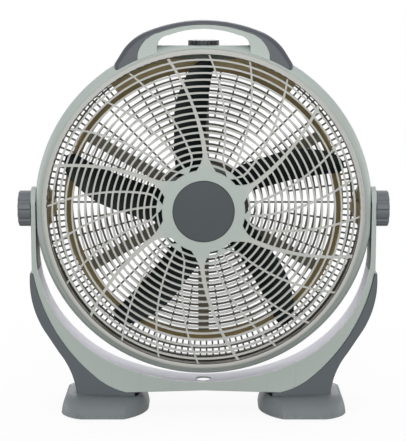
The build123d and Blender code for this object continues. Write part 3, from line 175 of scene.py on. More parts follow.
def linear(red, green, blue):
    """Scene-linear colour of a display colour given in 0 to 255."""
    def channel(value):
        share = value / 255
        return share / 12.92 if share <= 0.04045 else ((share + 0.055) / 1.055) ** 2.4
    return (channel(red), channel(green), channel(blue))


def colour(title, about, *display):
    """Colour property with a default given as a display colour."""
    return bpy.props.FloatVectorProperty(
        name=title, description=about, subtype="COLOR", size=3, min=0.0, max=1.0,
        default=linear(*display))


def length(title, about, metres):
    """Length property."""
    return bpy.props.FloatProperty(
        name=title, description=about, subtype="DISTANCE", unit="LENGTH", min=0.0, precision=5,
        default=metres)


def number(title, about, value):
    """Plain number property."""
    return bpy.props.FloatProperty(name=title, description=about, min=0.0, default=value)


class DRUMFAN_PG_finishes(bpy.types.PropertyGroup):
    """Colours of the fan's finishes, and of the painted shade and painted light on them."""
    shell: colour("Shell", "Pale grey-green plastic of drum, guard and yoke", 169, 178, 173)
    legs: colour("Legs", "Slate plastic of the legs", 80, 86, 91)
    handle: colour("Handle cover", "Slate plastic of the carry handle's cover", 71, 75, 81)
    feet: colour("Feet", "Grey plastic of the feet", 112, 118, 120)
    # Painted shade: the rear grille's ribs and struts are darkened as they look in the drum's
    # shadow.
    ribs: colour("Rear ribs", "Darker tone of the rear grille's ribs and struts", 86, 82, 69)
    # Painted shade on the drum's inner side and the rim's inner wall, as if in the drum's shadow.
    drum_inside: colour("Drum inside", "Inner side of the drum and the rim", 84, 78, 62)
    # Painted shade on the inner side of the yoke's arms, in the gap against the drum.
    arm_inside: colour("Arm inside", "Inner side of the yoke's arms, against the drum", 34, 34, 33)
    # Painted light: the guard's rings and rim are made lighter than the hub of the same moulding.
    rings: colour("Guard rings", "Light plastic of the guard's rings and rim", 181, 182, 177)
    # Painted shade in the groove round the badge.
    groove: colour("Groove", "Shaded groove round the badge", 42, 44, 44)
    # Painted light: the yoke's upper side under the drum is made light lilac, as if lit by a fill
    # light.
    yoke_inside: colour("Yoke inside", "Upper side of the yoke, under the drum", 228, 226, 236)
    badge: colour("Badge", "Satin disc in the hub", 58, 66, 70)
    casing: colour("Rear casing", "Olive plastic of the rear grille", 154, 137, 95)
    blades: colour("Blades", "Dark plastic of the impeller", 17, 26, 26)
    knobs: colour("Tilt knobs", "Slate plastic of the side knobs", 96, 101, 105)
    dial: colour("Speed knob", "Near-black plastic of the speed knob", 50, 54, 58)
    pointer: colour("Pointer", "Light bar on the speed knob", 205, 208, 206)
    rubber: colour("Rubber", "Foot pads and cord gland", 38, 38, 38)
    # Painted shade: the switch box takes the shell's tone as it looks in shadow.
    switch_box: colour("Switch box", "Dark plastic of the box round the switch", 62, 72, 64)
    lead: colour("Lead", "Sheath of the lead and the switch body", 44, 44, 45)
    steel: colour("Steel", "Plated screws, bolts and shaft", 176, 176, 174)
    alloy: colour("Motor metal", "Cast bells of the motor", 128, 127, 124)
    bronze: colour("Bronze", "Bearings and threaded inserts", 168, 134, 84)
    copper: colour("Copper", "Varnished windings", 158, 92, 52)


class DRUMFAN_PG_details(bpy.types.PropertyGroup):
    """Sizes of the fine details."""
    edge: length("Soft edges", "Radius of the smallest rounding on moulded edges", 0.0007)
    grain: length("Grain", "Size of the moulded grain", 0.0007)
    grain_depth: length("Grain depth", "Height of the moulded grain", 0.00004)
    mottle: length("Mottle", "Size of the soft colour patches in the plastic", 0.09)
    # Painted shade: width of the darker lines over the yoke's webs.
    sink_width: length("Sink lines", "Half width of the marks over the yoke's webs", 0.0016)
    scuff_height: length("Scuffs", "Height up to which the feet are scuffed", 0.012)
    cover_round: length("Handle rounding", "Largest rounding of the handle cover's edges", 0.011)
    cover_foot_round: length("Handle foot", "Rounding of the same edges at the drum", 0.003)
    screw_head: length("Screw heads", "Height of the screw heads", 0.0024)
    screw_shank: length("Screw shanks", "Radius of the screw shanks", 0.0019)
    numeral: length("Numerals", "Height of the numerals round the speed knob", 0.0052)
    print_depth: length("Print", "Thickness of printed and inlaid marks", 0.00015)


class DRUMFAN_PG_studio(bpy.types.PropertyGroup):
    """Camera, lamps and floor."""
    distance: length("Camera distance", "From the guard's rim to the camera", 2.4)
    rise: bpy.props.FloatProperty(
        name="Camera elevation", description="Angle above the fan axis", subtype="ANGLE",
        unit="ROTATION", default=math.radians(9.0))
    focal_pixels: number("Focal length", "In pixels of the photograph's frame", 1500.0)
    top_power: number("Top lamp", "Power in watts of the lamp overhead", 18.0)
    side_power: number("Side lamps", "Power in watts of each lamp at the sides", 16.0)
    front_power: number("Front lamp", "Power in watts of the lamp at the front", 63.0)
    back_power: number("Back lamp", "Power in watts of the lamp behind the fan", 22.0)
    overhead: number("Light overhead", "Strength of the surrounding light from above", 0.56)
    horizon: number("Light around", "Strength of the surrounding light at the horizon", 0.12)
    floor_seen: colour("Floor as seen", "Floor where the camera sees it", 250, 250, 250)
    floor_felt: colour("Floor as felt", "Floor where it throws light on the fan", 56, 56, 58)


class Term:
    """A shader socket that takes part in Python expressions."""

    def __init__(self, graph, socket):
        self.graph = graph
        self.socket = socket

    def maths(self, operation, first, second=0.0):
        return self.graph.node("ShaderNodeMath", {"operation": operation}, {0: first, 1: second})

    def __add__(self, other):
        return self.maths("ADD", self, other)

    def __radd__(self, other):
        return self.maths("ADD", other, self)

    def __sub__(self, other):
        return self.maths("SUBTRACT", self, other)

    def __rsub__(self, other):
        return self.maths("SUBTRACT", other, self)

    def __mul__(self, other):
        return self.maths("MULTIPLY", self, other)

    def __rmul__(self, other):
        return self.maths("MULTIPLY", other, self)

    def __truediv__(self, other):
        return self.maths("DIVIDE", self, other)

    def __abs__(self):
        return self.maths("ABSOLUTE", self)

    def most(self, other):
        return self.maths("MAXIMUM", self, other)

    def above(self, other):
        return self.maths("GREATER_THAN", self, other)

    def root(self):
        return self.maths("SQRT", self)


class Graph:
    """Node tree of one material, with its surface shader and its output."""

    def __init__(self, tree):
        self.tree = tree
        self.tree.nodes.clear()

    def node(self, kind, settings=None, sockets=None, output=0):
        """Add a node: settings first, then the values or links of its sockets.
        Gives back the socket that output names, or a list for a tuple of names."""
        made = self.tree.nodes.new(kind)
        for key, value in (settings or {}).items():
            if key == "stops":
                self.set_stops(made.color_ramp, value)
            else:
                setattr(made, key, value)
        for key, value in (sockets or {}).items():
            if isinstance(value, Term):
                self.tree.links.new(value.socket, made.inputs[key])
            else:
                made.inputs[key].default_value = value
        if isinstance(output, tuple):
            return [Term(self, made.outputs[key]) for key in output]
        return Term(self, made.outputs[output]) if made.outputs else None

    def set_stops(self, ramp, stops):
        """Give a colour ramp its stops, as pairs of a place and a grey level."""
        while len(ramp.elements) < len(stops):
            ramp.elements.new(1.0)
        for element, (place, level) in zip(ramp.elements, stops):
            element.position = place
            element.color = (level, level, level, 1.0)

    def place(self):
        """Point on the surface in metres, in the part's own frame."""
        return self.node("ShaderNodeTexCoord", output="Object")

    def axes(self, point):
        """The three numbers of a point."""
        return self.node("ShaderNodeSeparateXYZ", None, {0: point}, ("X", "Y", "Z"))

    def noise(self, point, size, detail):
        """Noise from 0 to 1 with features of a size in metres."""
        sockets = {"Vector": point, "Scale": 1.0 / size, "Detail": detail}
        return self.node("ShaderNodeTexNoise", None, sockets)

    def blend(self, share, first, second):
        """Mix of two colours."""
        sockets = {MIX_SHARE: share, MIX_FIRST: first, MIX_SECOND: second}
        return self.node("ShaderNodeMix", {"data_type": "RGBA"}, sockets, MIX_RESULT)

    def ramp(self, value, *stops):
        """Value reshaped by a ramp."""
        return self.node("ShaderNodeValToRGB", {"stops": stops}, {0: value})

    def bump(self, height, depth, edge):
        """Normal from a height of 0 to 1 over a depth in metres, with rounded edges."""
        rounded = self.node("ShaderNodeBevel", {"samples": EDGE_SAMPLES}, {"Radius": edge})
        sockets = {"Height": height, "Distance": depth, "Normal": rounded}
        return self.node("ShaderNodeBump", None, sockets)

    def surface(self, sockets):
        """Surface shader and output."""
        shader = self.node("ShaderNodeBsdfPrincipled", None, sockets)
        self.node("ShaderNodeOutputMaterial", None, {"Surface": shader})


def shade(rgb, factor):
    """Colour made lighter or darker, with full alpha."""
    return tuple(min(1.0, channel * factor) for channel in rgb) + (1.0,)


def new_graph(name):
    """Material with an empty node tree, and the graph that fills it."""
    material = bpy.data.materials.new(name)
    material.use_nodes = True
    return material, Graph(material.node_tree)


def from_axis(graph, point):
    """Distances across and up from the fan's axis, and straight from it."""
    x, _, z = graph.axes(point)
    rise = z - FAN_AXIS.z
    return x, rise, (x * x + rise * rise).root()


def lining(graph, point):
    """1 on faces at the drum's wall that look at the fan's axis: where painted shade goes inside
    the drum and the guard, and painted light on the yoke.
    """
    x, rise, reach = from_axis(graph, point)
    normal_x, _, normal_z = graph.axes(graph.node("ShaderNodeTexCoord", output="Normal"))
    inward = (x * normal_x + rise * normal_z) / reach * -1.0
    return inward.above(FACING_AXIS) * reach.above(GUARD_RING_R)


def arm_lining(graph, point):
    """1 on the inner side of the yoke's arms, above the legs, where painted shade goes."""
    return lining(graph, point) * from_axis(graph, point)[1].above(ARM_RISE)


def ribbed(graph, point):
    """1 on the rear grille's ribs, struts and slot bars, 0 on its step and behind the switch: where
    painted shade goes.
    """
    _, rise, reach = from_axis(graph, point)
    slotted = reach.above(STEP_R[1]) * (BLANK_SINE - rise / reach).above(0.0)
    return (STEP_R[0] - reach).above(0.0).most(slotted)


def ringed(graph, point):
    """1 on the guard's rings and rim, falling off along the ribs towards the hub: where painted
    light goes.
    """
    return graph.ramp(from_axis(graph, point)[2] / GUARD_RING_R, *RING_LIGHT_STOPS)


def grooved(graph, point):
    """1 in the groove round the badge, where painted shade goes."""
    reach = from_axis(graph, point)[2]
    return (1.0 - abs(reach - GROOVE_R) / GROOVE_HALF).above(0.0)


def moulded(name, rgb, roughness, variation, gloss=0.35, marks=None, painted_tints=()):
    """Moulded plastic: soft mottling, fine grain and a roughness that varies with both.
    marks(graph, point) may give a mask of darker places, from dust and scuffs to painted shade; a
    tint is such a mask and its colour, and the tints paint shade and light."""
    sizes = bpy.context.scene.drumfan_details
    material, graph = new_graph(name)
    point = graph.place()
    patches = graph.noise(point, sizes.mottle, SOFT)
    grain = graph.noise(point, sizes.grain, FINE)
    tone = graph.blend(patches, shade(rgb, 1.0 - variation), shade(rgb, 1.0 + variation))
    tone = graph.blend(grain * GRAIN_TINT, tone, shade(rgb, 1.0 - variation))
    rough = roughness - ROUGH_DROP + patches * ROUGH_SWING + grain * ROUGH_SWING
    if marks:
        mask = marks(graph, point)
        tone = graph.blend(mask, tone, shade(rgb, MARK_SHADE))
        rough = rough + mask * MARK_ROUGH
    for mask_of, tint in painted_tints:
        tone = graph.blend(mask_of(graph, point), tone, shade(tint, 1.0))
    graph.surface({
        "Base Color": tone,
        "Roughness": rough,
        "Specular IOR Level": gloss,
        "Normal": graph.bump(grain, sizes.grain_depth, sizes.edge),
    })
    return material


def metal(name, rgb, roughness, stretch):
    """Plated or cast metal with fine lines along the stretched axis."""
    material, graph = new_graph(name)
    point = graph.place()
    lines = graph.node("ShaderNodeVectorMath", {"operation": "MULTIPLY"}, {0: point, 1: stretch})
    scratch = graph.noise(lines, METAL_SCRATCH_SIZE, SOFT)
    cloud = graph.noise(point, METAL_CLOUD_SIZE, SOFT)
    tone = graph.blend(cloud, *[shade(rgb, factor) for factor in METAL_CLOUD_SHADES])
    worn = shade(rgb, METAL_SCRATCH_SHADE)
    graph.surface({
        "Base Color": graph.blend(scratch * METAL_SCRATCH_SHARE, tone, worn),
        "Metallic": 1.0,
        "Roughness": roughness - METAL_ROUGH_DROP + scratch * METAL_ROUGH_SWING,
        "Normal": graph.bump(scratch, METAL_SCRATCH_DEPTH, METAL_EDGE),
    })
    return material


def dress(material, *names):
    """Give CAD nodes a material."""
    for name in names:
        data = NODES[name].data
        data.materials.clear()
        data.materials.append(material)


def yoke_marks(graph, point):
    """Faint lines of painted shade on the yoke over its webs, where sink marks dip."""
    sizes = bpy.context.scene.drumfan_details
    across = abs(graph.axes(point)[0])
    mask = None
    for web in YOKE_WEBS:
        line = (1.0 - abs(across - web) / sizes.sink_width).most(0.0)
        mask = line if mask is None else mask + line
    return mask * SINK_SHADE_STRENGTH


def foot_marks(graph, point):
    """Scuffs that fade out above the floor."""
    sizes = bpy.context.scene.drumfan_details
    low = (1.0 - graph.axes(point)[2] / sizes.scuff_height).most(0.0)
    patches = graph.ramp(graph.noise(point, SCUFF_SIZE, PATCHY), *SCUFF_STOPS)
    return low * patches * SCUFF_STRENGTH


def dust_marks(graph, point):
    """Soft dark film in patches, as on parts that the air passes."""
    film = graph.ramp(graph.noise(point, DUST_SIZE, PATCHY), *DUST_STOPS)
    return film * DUST_STRENGTH


class DRUMFAN_OT_shell(bpy.types.Operator):
    """Give the drum, the guard and the handle frame their pale shell plastic"""
    bl_idname = "drumfan.shell"
    bl_label = "Drum, guard and handle frame"

    def execute(self, context):
        tones = context.scene.drumfan_finishes
        # Painted shade inside the drum and on the rim's inner wall.
        inside = (lining, tones.drum_inside)
        dress(moulded("shell_plastic", tones.shell, painted_tints=[inside], **SHELL_FINISH), "drum")
        # Painted light on the guard's rings and rim, and painted shade inside the rim and in the
        # groove round the badge.
        painted_tints = [(ringed, tones.rings), inside, (grooved, tones.groove)]
        dress(moulded("guard_plastic", tones.shell, painted_tints=painted_tints, **SHELL_FINISH), "front_grille")
        dress(moulded("frame_plastic", tones.shell, **SHELL_FINISH), "handle_frame")
        dress(moulded("badge_satin", tones.badge, roughness=0.4, variation=0.05, gloss=0.22),
              "hub_badge")
        return {"FINISHED"}


class DRUMFAN_OT_stand(bpy.types.Operator):
    """Finish the yoke, the legs, the feet and their pads"""
    bl_idname = "drumfan.stand"
    bl_label = "Yoke stand"

    def execute(self, context):
        tones = context.scene.drumfan_finishes
        # Painted light on the yoke's upper side under the drum, and painted shade on the arms'
        # inner sides.
        painted_tints = [(lining, tones.yoke_inside), (arm_lining, tones.arm_inside)]
        dress(moulded("yoke_plastic", tones.shell, marks=yoke_marks, painted_tints=painted_tints, **SHELL_FINISH),
              "yoke")
        dress(moulded("leg_plastic", tones.legs, roughness=0.45, variation=0.05),
              "left_leg", "right_leg")
        dress(moulded("foot_plastic", tones.feet, roughness=0.48, variation=0.05, marks=foot_marks),
              "left_foot", "right_foot")
        dress(moulded("pad_rubber", tones.rubber, roughness=0.85, variation=0.10, gloss=0.2),
              "foot_pads", "cord_gland")
        return {"FINISHED"}


def new_piece(name, shape, material, body):
    """Object from a bmesh that moves with a CAD body and carries a material."""
    data = bpy.data.meshes.new(name)
    bmesh.ops.recalc_face_normals(shape, faces=shape.faces)
    shape.to_mesh(data)
    shape.free()
    data.shade_smooth()
    data.set_sharp_from_angle(angle=SHARP_ANGLE)
    data.materials.append(material)
    piece = bpy.data.objects.new(name, data)
    bpy.context.scene.collection.objects.link(piece)
    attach(piece, body)
    return piece


def lathe(profile, steps):
    """Turned shape from a profile of pairs (radius, place on Y), closed where its turn ends."""
    shape = bmesh.new()
    verts = [shape.verts.new((radius, along_y, 0.0)) for radius, along_y in profile]
    edges = [shape.edges.new(pair) for pair in zip(verts, verts[1:])]
    bmesh.ops.spin(shape, geom=verts + edges, cent=(0, 0, 0), axis=(0, 1, 0),
                   angle=2 * math.pi, steps=steps)
    bmesh.ops.remove_doubles(shape, verts=shape.verts, dist=LATHE_WELD)
    bmesh.ops.recalc_face_normals(shape, faces=shape.faces)
    return shape


def loose_object(name, shape):
    """Plain object from a bmesh, for use in between."""
    data = bpy.data.meshes.new(name)
    shape.to_mesh(data)
    shape.free()
    made = bpy.data.objects.new(name, data)
    bpy.context.scene.collection.objects.link(made)
    return made


def carved(shape, cutters):
    """Shape with other shapes cut out of it."""
    blank = loose_object("blank", shape)
    tools = [loose_object("cutter", cutter) for cutter in cutters]
    for tool in tools:
        cut = blank.modifiers.new("cut", "BOOLEAN")
        cut.object = tool
        cut.operation = "DIFFERENCE"
    bpy.context.view_layer.update()
    depsgraph = bpy.context.evaluated_depsgraph_get()
    data = bpy.data.meshes.new_from_object(blank.evaluated_get(depsgraph))
    left = bmesh.new()
    left.from_mesh(data)
    for mesh in [data, blank.data] + [tool.data for tool in tools]:
        bpy.data.meshes.remove(mesh)
    return left


def arc_points(first, middle, last, count):
    """Points on the arc through three points."""
    chord, other = middle - first, last - first
    cross = 2.0 * (chord.x * other.y - chord.y * other.x)
    chord_square, other_square = chord.length_squared, other.length_squared
    centre = first + Vector((other.y * chord_square - chord.y * other_square,
                             chord.x * other_square - other.x * chord_square)) / cross
    spoke = first - centre
    turn = -spoke.angle_signed(last - centre)
    return [centre + Matrix.Rotation(turn * step / count, 2) @ spoke for step in range(count + 1)]


def half_arch(outline):
    """Points of half a handle outline from its crown to its foot: two arcs and straight sides."""
    crown, start, middle, end, *foot = [Vector(point) for point in outline]
    mirrored = Vector((-start.x, start.y))
    points = arc_points(mirrored, crown, start, 2 * ARC_STEPS)[ARC_STEPS:]
    return points + arc_points(start, middle, end, ARC_STEPS)[1:] + foot


def along(points, share):
    """Point at a share of a polyline's length."""
    left = share * sum((after - before).length for before, after in zip(points, points[1:]))
    for before, after in zip(points, points[1:]):
        step = (after - before).length
        if left <= step:
            return before.lerp(after, left / step)
        left -= step
    return points[-1]


def cover_section(outer, seam, front, rear, rounding):
    """Ring of points across the handle cover, square at the seam and rounded outside."""
    across = outer - seam
    width = across.length
    across.normalize()
    bend = min(rounding, COVER_ROUND_SHARE * width)
    quarter = [math.pi / 2 * step / ROUND_STEPS for step in range(ROUND_STEPS + 1)]
    straight = width - bend - SEAM_GAP
    flat = [(SEAM_GAP + straight * step / FLAT_STEPS, 0.0) for step in range(FLAT_STEPS)]
    curve = [(width - bend + bend * math.sin(angle), bend * (1.0 - math.cos(angle)))
             for angle in quarter]
    front_half = [(reach, front + depth) for reach, depth in flat + curve]
    rear_half = [(reach, rear - depth) for reach, depth in reversed(flat + curve)]
    ring = []
    for reach, depth in front_half + rear_half:
        point = seam + across * reach
        ring.append(Vector((point.x, depth, FAN_AXIS.z + point.y)))
    return ring


def drum_body():
    """The drum and the rim in front of it as one filled body, a little larger than they are."""
    shoulder = arc_points(*[Vector(point) for point in DRUM_SHOULDER], ARC_STEPS)
    rear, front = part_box("drum")[1].y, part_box("front_grille")[0].y
    profile = [(0.0, rear), (shoulder[0].x, rear), *shoulder,
               (shoulder[-1].x, front), (0.0, front)]
    shape = lathe(profile, DRUM_FACETS)
    bmesh.ops.translate(shape, verts=shape.verts, vec=(0.0, 0.0, FAN_AXIS.z))
    return shape


def add_handle_cover(material):
    """Cover of the carry handle, with outer edges rounded as far as its width allows."""
    sizes = bpy.context.scene.drumfan_details
    low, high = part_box("handle_cover")
    outer = half_arch(HANDLE_OUTER)
    seam = half_arch(HANDLE_SEAM)
    shape = bmesh.new()
    rings = []
    loss = sizes.cover_foot_round - sizes.cover_round
    for step in range(-COVER_STATIONS, COVER_STATIONS + 1):
        share = abs(step) / COVER_STATIONS
        side = Vector((-1.0 if step < 0 else 1.0, 1.0))
        rounding = sizes.cover_round + loss * share ** FOOT_POWER
        ring = cover_section(along(outer, share) * side, along(seam, share) * side,
                             low.y, high.y, rounding)
        rings.append([shape.verts.new(point) for point in ring])
    for before, after in zip(rings, rings[1:]):
        for index in range(len(before)):
            follow = (index + 1) % len(before)
            shape.faces.new((before[index], after[index], after[follow], before[follow]))
    shape.faces.new(rings[0])
    shape.faces.new(rings[-1])
    bmesh.ops.recalc_face_normals(shape, faces=shape.faces)
    fitted = carved(shape, [drum_body()])
    cover = new_piece("handle_cover_rounded", fitted, material, "head")
    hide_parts("handle_cover")


def text_mesh(text, height, depth):
    """Mesh of a short text, middle at the origin."""
    curve = bpy.data.curves.new("numeral_text", "FONT")
    curve.body = text
    curve.size = height
    curve.extrude = depth
    curve.align_x = "CENTER"
    curve.align_y = "CENTER"
    curve.resolution_u = TEXT_STEPS
    made = bpy.data.objects.new("numeral_text", curve)
    data = bpy.data.meshes.new_from_object(made)
    bpy.data.objects.remove(made)
    bpy.data.curves.remove(curve)
    return data


def dial_directions():
    """Unit vectors from the speed knob's axis to its settings, off first."""
    sweep = math.radians(joint("speed_knob_turn")["range_deg"][0])
    start = math.pi / 2 - sweep / 2
    step = sweep / (SPEED_SETTINGS - 1)
    angles = [start + step * index for index in range(SPEED_SETTINGS)]
    return [Vector((math.cos(angle), math.sin(angle), 0.0)) for angle in angles]


def add_speed_marks(material):
    """Numerals printed on the deck round the speed knob."""
    sizes = bpy.context.scene.drumfan_details
    low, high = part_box("dial_plate")
    middle = (low + high) / 2
    reach = (high.x - low.x) / 2 + sizes.numeral * NUMERAL_OFFSET
    shape = bmesh.new()
    for setting, direction in enumerate(dial_directions()):
        data = text_mesh(str(setting), sizes.numeral, sizes.print_depth)
        place = Vector((middle.x, middle.y, low.z)) + direction * reach
        data.transform(Matrix.Translation(place))
        shape.from_mesh(data)
        bpy.data.meshes.remove(data)
    bmesh.ops.remove_doubles(shape, verts=shape.verts, dist=WELD)
    new_piece("speed_marks", shape, material, "head")


def add_pointer(material):
    """Light bar inlaid in the top of the speed knob."""
    sizes = bpy.context.scene.drumfan_details
    low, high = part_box("speed_knob")
    radius = (high.x - low.x) / 2
    middle = Vector(((low.x + high.x) / 2, (low.y + high.y) / 2, high.z))
    direction = dial_directions()[0]
    across = Vector((-direction.y, direction.x, 0.0))
    start, end = POINTER_SPAN
    half = POINTER_WIDTH / 2
    outline = []
    for centre, turn in ((end * radius, 0.0), (start * radius, math.pi)):
        for step in range(ROUND_STEPS + 1):
            angle = turn - math.pi / 2 + math.pi * step / ROUND_STEPS
            outline.append(direction * (centre + half * math.cos(angle))
                           + across * (half * math.sin(angle)))
    shape = bmesh.new()
    layers = []
    for rise in (-sizes.print_depth, sizes.print_depth):
        base = middle + Vector((0.0, 0.0, rise))
        layers.append([shape.verts.new(base + point) for point in outline])
    lower, upper = layers
    shape.faces.new(lower)
    shape.faces.new(upper)
    for index in range(len(outline)):
        follow = (index + 1) % len(outline)
        shape.faces.new((lower[index], lower[follow], upper[follow], upper[index]))
    new_piece("pointer_bar", shape, material, "dial")


class DRUMFAN_OT_handle(bpy.types.Operator):
    """Round the handle cover off, and finish the dial with its marks and the tilt knobs"""
    bl_idname = "drumfan.handle"
    bl_label = "Handle and knobs"

    def execute(self, context):
        tones = context.scene.drumfan_finishes
        add_handle_cover(moulded("handle_plastic", tones.handle, roughness=0.46, variation=0.05))
        dial = moulded("dial_plastic", tones.dial, roughness=0.38, variation=0.08)
        dress(dial, "speed_knob", "dial_plate")
        add_speed_marks(dial)
        add_pointer(moulded("pointer_inlay", tones.pointer, roughness=0.4, variation=0.03))
        dress(moulded("knob_plastic", tones.knobs, roughness=0.44, variation=0.06),
              "left_tilt_knob", "right_tilt_knob")
        return {"FINISHED"}


class DRUMFAN_OT_blades(bpy.types.Operator):
    """Finish the impeller and its nut"""
    bl_idname = "drumfan.blades"
    bl_label = "Impeller"

    def execute(self, context):
        tones = context.scene.drumfan_finishes
        dress(moulded("blade_plastic", tones.blades, roughness=0.5, variation=0.08, gloss=0.2,
                      marks=dust_marks),
              "impeller", "blade_nut")
        return {"FINISHED"}


class DRUMFAN_OT_rear(bpy.types.Operator):
    """Finish the rear grille, the pivot blocks, the motor cover and the lead"""
    bl_idname = "drumfan.rear"
    bl_label = "Rear casing"

    def execute(self, context):
        tones = context.scene.drumfan_finishes
        dusty = {"roughness": 0.5, "variation": 0.08, "gloss": 0.3, "marks": dust_marks}
        # Painted shade on the rear grille's ribs, struts and slot bars inside the drum.
        painted_tints = [(ribbed, tones.ribs)]
        dress(moulded("casing_plastic", tones.casing, painted_tints=painted_tints, **dusty), "rear_grille")
        dress(moulded("cover_plastic", tones.casing, **dusty),
              "left_pivot_block", "right_pivot_block", "motor_cover", "lead_cover")
        dress(moulded("lead_sheath", tones.lead, roughness=0.5, variation=0.1),
              "switch_lead", "rotary_switch", "capacitor")
        # Painted shade: the switch box in the shell's tone as seen in shadow.
        dress(moulded("switch_box_plastic", tones.switch_box, roughness=0.5, variation=0.08),
              "switch_cover")
        return {"FINISHED"}


def solid_boxes(name):
    """Lowest and highest corners of each separate solid in a CAD node."""
    shape = bmesh.new()
    shape.from_mesh(NODES[name].data)
    bmesh.ops.remove_doubles(shape, verts=shape.verts, dist=WELD)
    waiting = set(shape.verts)
    boxes = []
    while waiting:
        solid = [waiting.pop()]
        for vert in solid:
            near = [edge.other_vert(vert) for edge in vert.link_edges]
            fresh = [other for other in near if other in waiting]
            waiting.difference_update(fresh)
            solid.extend(dict.fromkeys(fresh))
        places = [vert.co for vert in solid]
        low = Vector(min(place[axis] for place in places) for axis in range(3))
        high = Vector(max(place[axis] for place in places) for axis in range(3))
        boxes.append((low, high))
    shape.free()
    return sorted(boxes, key=lambda box: tuple(box[0]))


def screw_shape(head_radius, head_height, shank_radius, tip):
    """Pan-head screw with a cross recess, from a tip on Y to a head on +Y that sits at 0."""
    rim_height = head_height * SCREW_RIM_SHARE
    quarter = [math.pi / 2 * step / ROUND_STEPS for step in range(ROUND_STEPS + 1)]
    profile = [(head_radius * math.sin(angle),
                rim_height + (head_height - rim_height) * math.cos(angle)) for angle in quarter]
    profile += [(head_radius, 0.0), (shank_radius, 0.0), (shank_radius, tip), (0.0, tip)]
    cutters = []
    for turn in (0.0, math.pi / 2):
        blade = bmesh.new()
        bmesh.ops.create_cube(blade, size=1.0)
        for vert in blade.verts:
            taper = 1.0 if vert.co.y > 0 else RECESS_TAPER
            vert.co = Vector((vert.co.x * 2 * RECESS_REACH * head_radius * taper,
                              head_height * (1.0 + vert.co.y),
                              vert.co.z * RECESS_WIDTH * head_radius))
        bmesh.ops.rotate(blade, verts=blade.verts, matrix=Matrix.Rotation(turn, 3, "Y"))
        cutters.append(blade)
    return carved(lathe(profile, SCREW_FACETS), cutters)


def add_screws(node, material):
    """Screws with cross recesses in the places of a CAD node's screws, heads towards the back."""
    sizes = bpy.context.scene.drumfan_details
    shape = bmesh.new()
    for low, high in solid_boxes(node):
        seat_y = high.y - sizes.screw_head
        radius = (high.x - low.x) / 2
        screw = screw_shape(radius, sizes.screw_head, sizes.screw_shank, low.y - seat_y)
        place = Vector(((low.x + high.x) / 2, seat_y, (low.z + high.z) / 2))
        bmesh.ops.translate(screw, verts=screw.verts, vec=place)
        data = bpy.data.meshes.new("screw")
        screw.to_mesh(data)
        screw.free()
        shape.from_mesh(data)
        bpy.data.meshes.remove(data)
    piece = new_piece(node + "_crossed", shape, material, "head")
    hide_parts(node)


class DRUMFAN_OT_metals(bpy.types.Operator):
    """Finish the motor, the bearings and the fasteners"""
    bl_idname = "drumfan.metals"
    bl_label = "Motor and fasteners"

    def execute(self, context):
        tones = context.scene.drumfan_finishes
        steel = metal("plated_steel", tones.steel, 0.34, TURNED)
        for node in ("case_screws", "cover_screws"):
            add_screws(node, steel)
        dress(steel,
              "leg_screws", "handle_screws", "left_knob_bolt", "right_knob_bolt",
              "motor_bolts", "motor_screws", "motor_shaft", "thrust_washers", "drive_pin",
              "switch_screws", "switch_shaft", "tilt_washers")
        dress(metal("cast_alloy", tones.alloy, 0.5, CAST), "front_bell", "rear_bell")
        dress(metal("sheet_laminations", tones.alloy, 0.45, STACKED), "stator_core", "rotor")
        dress(metal("bearing_bronze", tones.bronze, 0.36, TURNED),
              "front_bearing", "rear_bearing", "pivot_inserts")
        dress(metal("varnished_copper", tones.copper, 0.4, WOUND), "stator_coils")
        return {"FINISHED"}


def lamp(name, place, side, power, rgb):
    """Square area lamp aimed at the fan."""
    data = bpy.data.lights.new(name, "AREA")
    data.shape = "SQUARE"
    data.size = side
    data.energy = power
    data.color = rgb
    made = bpy.data.objects.new(name, data)
    made.location = place
    ray = Vector(LAMP_TARGET) - Vector(place)
    made.rotation_euler = ray.to_track_quat("-Z", "Y").to_euler()
    bpy.context.scene.collection.objects.link(made)


def seen_directly(graph):
    """1 for rays from the camera, and for those that mirrors and glass send on."""
    rays = ("Is Camera Ray", "Is Glossy Ray", "Is Transmission Ray")
    camera, mirrored, through = graph.node("ShaderNodeLightPath", output=rays)
    return camera.most(mirrored).most(through)


